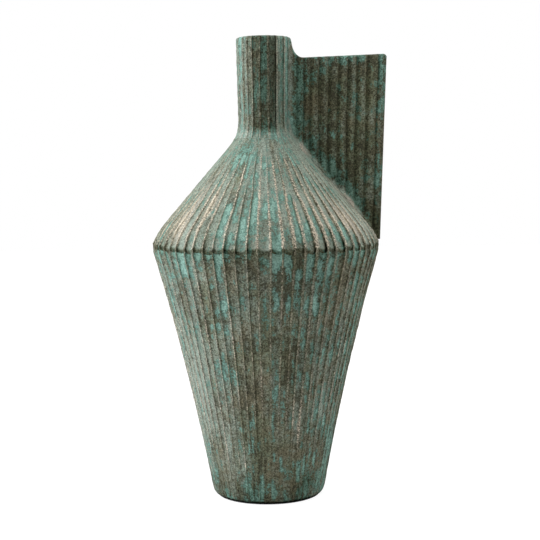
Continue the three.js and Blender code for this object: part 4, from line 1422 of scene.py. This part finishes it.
    # Less reflection in soot and painted shade, so that both stay dark
    specular = graph.line(soot_and_shade_level, 0.0, 1.2, 0.14, 0.0)
    graph.finish(colour, roughness, relief, 0.0006, **{"Specular IOR Level": specular})


def casting_material(colours):
    """Darkened as-cast metal, with a mottled skin and fine grain."""
    graph = Graph(bpy.data.materials.new(CASTING))
    place = graph.place()
    grain = graph.noise(place, colours.grain, 3.0, 0.6)
    mottle = graph.noise(place, CASTING_MOTTLE_SIZE, 3.0, 0.6)
    roughness = graph.line(mottle, 0.3, 0.7, 0.5, 0.75)
    relief = graph.add(grain, graph.times(mottle, 1.5))
    graph.finish(bare_metal(graph, mottle, colours), roughness, relief, 0.0005, Metallic=0.4)


def felt_material(colours):
    """Black felt: matted fibres as fine noise, dark to a little paler, over small lumps."""
    graph = Graph(bpy.data.materials.new(FELT))
    place = graph.place()
    fibres = graph.noise(place, FIBRE_SIZE, 4.0, 0.7)
    pilling = graph.noise(place, PILLING_SIZE)
    pale = tuple(min(1.0, 2.4 * part) for part in colours.felt)
    colour = graph.mix(graph.ramp(fibres, 0.35, 0.7), colours.felt, pale)
    relief = graph.add(fibres, graph.times(pilling, 1.5))
    graph.finish(colour, 1.0, relief, 0.0004, **{"Specular IOR Level": 0.02})


def add_softbox(name, place_and_size, watts, colour=WHITE[:3]):
    """A large soft light turned to the vase, which the camera doesn't see."""
    place, size = place_and_size
    light = bpy.data.lights.new(name, "AREA")
    light.shape = "RECTANGLE"
    light.size, light.size_y = size
    light.energy = watts
    light.color = colour
    box = add_object(name, light)
    box.visible_camera = False
    box.location = place
    direction = Vector(LIT_POINT) - box.location
    box.rotation_euler = direction.to_track_quat("-Z", "Y").to_euler()


def light_world(ambient):
    """A world that is white to the camera and in reflections, and dimmer as light."""
    world = bpy.data.worlds.new("studio")
    bpy.context.scene.world = world
    graph = Graph(world)
    dim = graph.shader("ShaderNodeBackground", Color=WHITE, Strength=ambient)
    white = graph.shader("ShaderNodeBackground", Color=WHITE, Strength=1.0)
    rays = ("Is Camera Ray", "Is Glossy Ray", "Is Transmission Ray")
    graph.end(graph.by_ray(rays, dim, white), "ShaderNodeOutputWorld")


def floor_material():
    """A pale floor. The camera sees it lifted to white, with the vase's shadow kept."""
    material = bpy.data.materials.new("pale_floor")
    graph = Graph(material)
    far = graph.node("ShaderNodeVectorMath", {0: graph.place()}, operation="LENGTH")
    glow = graph.ramp(far.outputs["Value"], 0.3, 1.6, 0.90, 1.0)
    plain = graph.shader("ShaderNodeBsdfDiffuse", Color=(0.80, 0.80, 0.80, 1.0))
    faint = graph.shader("ShaderNodeBsdfDiffuse", Color=(0.18, 0.18, 0.18, 1.0))
    lift = graph.shader("ShaderNodeEmission", Color=WHITE, Strength=glow)
    lifted = graph.node("ShaderNodeAddShader", {0: faint, 1: lift}).outputs[0]
    graph.end(graph.by_ray(("Is Camera Ray",), plain, lifted))
    return material


def add_floor():
    """A wide pale floor at the level that the vase stands on."""
    mesh = bpy.data.meshes.new("floor")
    signs = ((-1, -1), (1, -1), (1, 1), (-1, 1))
    corners = [(FLOOR_REACH * x, FLOOR_REACH * y, 0.0) for x, y in signs]
    mesh.from_pydata(corners, [], [(0, 1, 2, 3)])
    mesh.materials.append(floor_material())
    add_object("floor", mesh)


def add_camera(studio):
    """The camera at the photograph's viewing angle."""
    data = bpy.data.cameras.new("camera")
    data.lens = studio.lens
    data.sensor_width = SENSOR_WIDTH
    data.clip_start = NEAREST
    camera = add_object("camera", data)
    tilt = Matrix.Rotation(math.radians(90) - studio.camera_pitch, 4, "X")
    roll = Matrix.Rotation(studio.camera_roll, 4, "Z")
    camera.matrix_world = Matrix.Translation(studio.camera_place) @ tilt @ roll
    bpy.context.scene.camera = camera


class VASE_OT_stage(bpy.types.Operator):
    """Add the camera, the pale floor and the soft studio light"""

    bl_idname = "vase.stage"
    bl_label = "Studio"

    def execute(self, context):
        studio = context.scene.vase_studio
        context.scene.view_settings.view_transform = "Standard"
        add_camera(studio)
        add_floor()
        light_world(studio.ambient)
        add_softbox("left_light", LEFT_LIGHT, studio.left_watts, studio.left_colour)
        add_softbox("right_light", RIGHT_LIGHT, studio.right_watts)
        add_softbox("top_light", TOP_LIGHT, studio.top_watts)
        return {"FINISHED"}


class VASE_OT_finishes(bpy.types.Operator):
    """Make the patina, the bare casting and the felt"""

    bl_idname = "vase.finishes"
    bl_label = "Finishes"

    def execute(self, context):
        colours = context.scene.vase_patina
        patina_material(colours)
        casting_material(colours)
        felt_material(colours)
        return {"FINISHED"}


class VASE_OT_lower_body(bpy.types.Operator):
    """Add the fluted lower body, from the foot to the girth"""

    bl_idname = "vase.lower_body"
    bl_label = "Lower Body"

    def execute(self, context):
        field = lower_body_field(context.scene.vase_flutes)
        piece = shell_piece("lower_body_casting", field, body_inside(), body_zones(field))
        seat_piece(piece, "lower_body")
        return {"FINISHED"}


class VASE_OT_shoulder(bpy.types.Operator):
    """Add the fluted shoulder, from the girth ring to the neck root"""

    bl_idname = "vase.shoulder"
    bl_label = "Shoulder"

    def execute(self, context):
        field = shoulder_field(context.scene.vase_flutes)
        piece = shell_piece("shoulder_casting", field, shoulder_inside(), shoulder_zones(field))
        seat_piece(piece, "shoulder")
        return {"FINISHED"}


class VASE_OT_neck(bpy.types.Operator):
    """Add the fluted neck with its rounded rim and open bore"""

    bl_idname = "vase.neck"
    bl_label = "Neck"

    def execute(self, context):
        field = neck_field(context.scene.vase_flutes)
        piece = shell_piece("neck_casting", field, neck_inside(), neck_zones(field))
        seat_piece(piece, "neck")
        return {"FINISHED"}


class VASE_OT_fin(bpy.types.Operator):
    """Add the upright fin, fluted on both faces"""

    bl_idname = "vase.fin"
    bl_label = "Fin"

    def execute(self, context):
        piece = fin_piece("fin_casting", context.scene.vase_flutes)
        seat_piece(piece, "fin")
        return {"FINISHED"}


class VASE_OT_foot(bpy.types.Operator):
    """Add the base plate and the felt under the foot"""

    bl_idname = "vase.foot"
    bl_label = "Base Plate and Felt"

    def execute(self, context):
        plate = disc_piece("base_plate_disc", "base_plate", *PLATE_FINISH)
        seat_piece(plate, "base_plate")
        pad = disc_piece("felt_pad", "felt_disc", *FELT_FINISH)
        seat_piece(pad, "felt_disc")
        return {"FINISHED"}


OPERATORS = (
    VASE_OT_stage, VASE_OT_finishes, VASE_OT_lower_body, VASE_OT_shoulder, VASE_OT_neck,
    VASE_OT_fin, VASE_OT_foot,
)


class VASE_PT_panel(bpy.types.Panel):
    """Lists the steps and the settings of the vase"""

    bl_idname = "VASE_PT_panel"
    bl_label = "Fluted Vase"
    bl_space_type = "VIEW_3D"
    bl_region_type = "UI"
    bl_category = "Fluted Vase"

    def draw(self, context):
        for operator in OPERATORS:
            self.layout.operator(operator.bl_idname)
        scene = context.scene
        for settings in (scene.vase_flutes, scene.vase_patina, scene.vase_studio):
            box = self.layout.box()
            for label in settings.__annotations__:
                box.prop(settings, label)


CLASSES = (VaseFluteSettings, VasePatinaSettings, VaseStudioSettings, *OPERATORS, VASE_PT_panel)


def register():
    """Registers the classes and hangs the settings on the scene."""
    for entry in CLASSES:
        bpy.utils.register_class(entry)
    bpy.types.Scene.vase_flutes = PointerProperty(type=VaseFluteSettings)
    bpy.types.Scene.vase_patina = PointerProperty(type=VasePatinaSettings)
    bpy.types.Scene.vase_studio = PointerProperty(type=VaseStudioSettings)


def unregister():
    """Takes the settings off the scene and unregisters the classes."""
    del bpy.types.Scene.vase_studio
    del bpy.types.Scene.vase_patina
    del bpy.types.Scene.vase_flutes
    for entry in reversed(CLASSES):
        bpy.utils.unregister_class(entry)


def main():
    """Builds the vase piece by piece."""
    register()
    bpy.ops.vase.stage()
    bpy.ops.vase.finishes()
    bpy.ops.vase.lower_body()
    bpy.ops.vase.shoulder()
    bpy.ops.vase.neck()
    bpy.ops.vase.fin()
    bpy.ops.vase.foot()


if __name__ == "__main__":
    main()
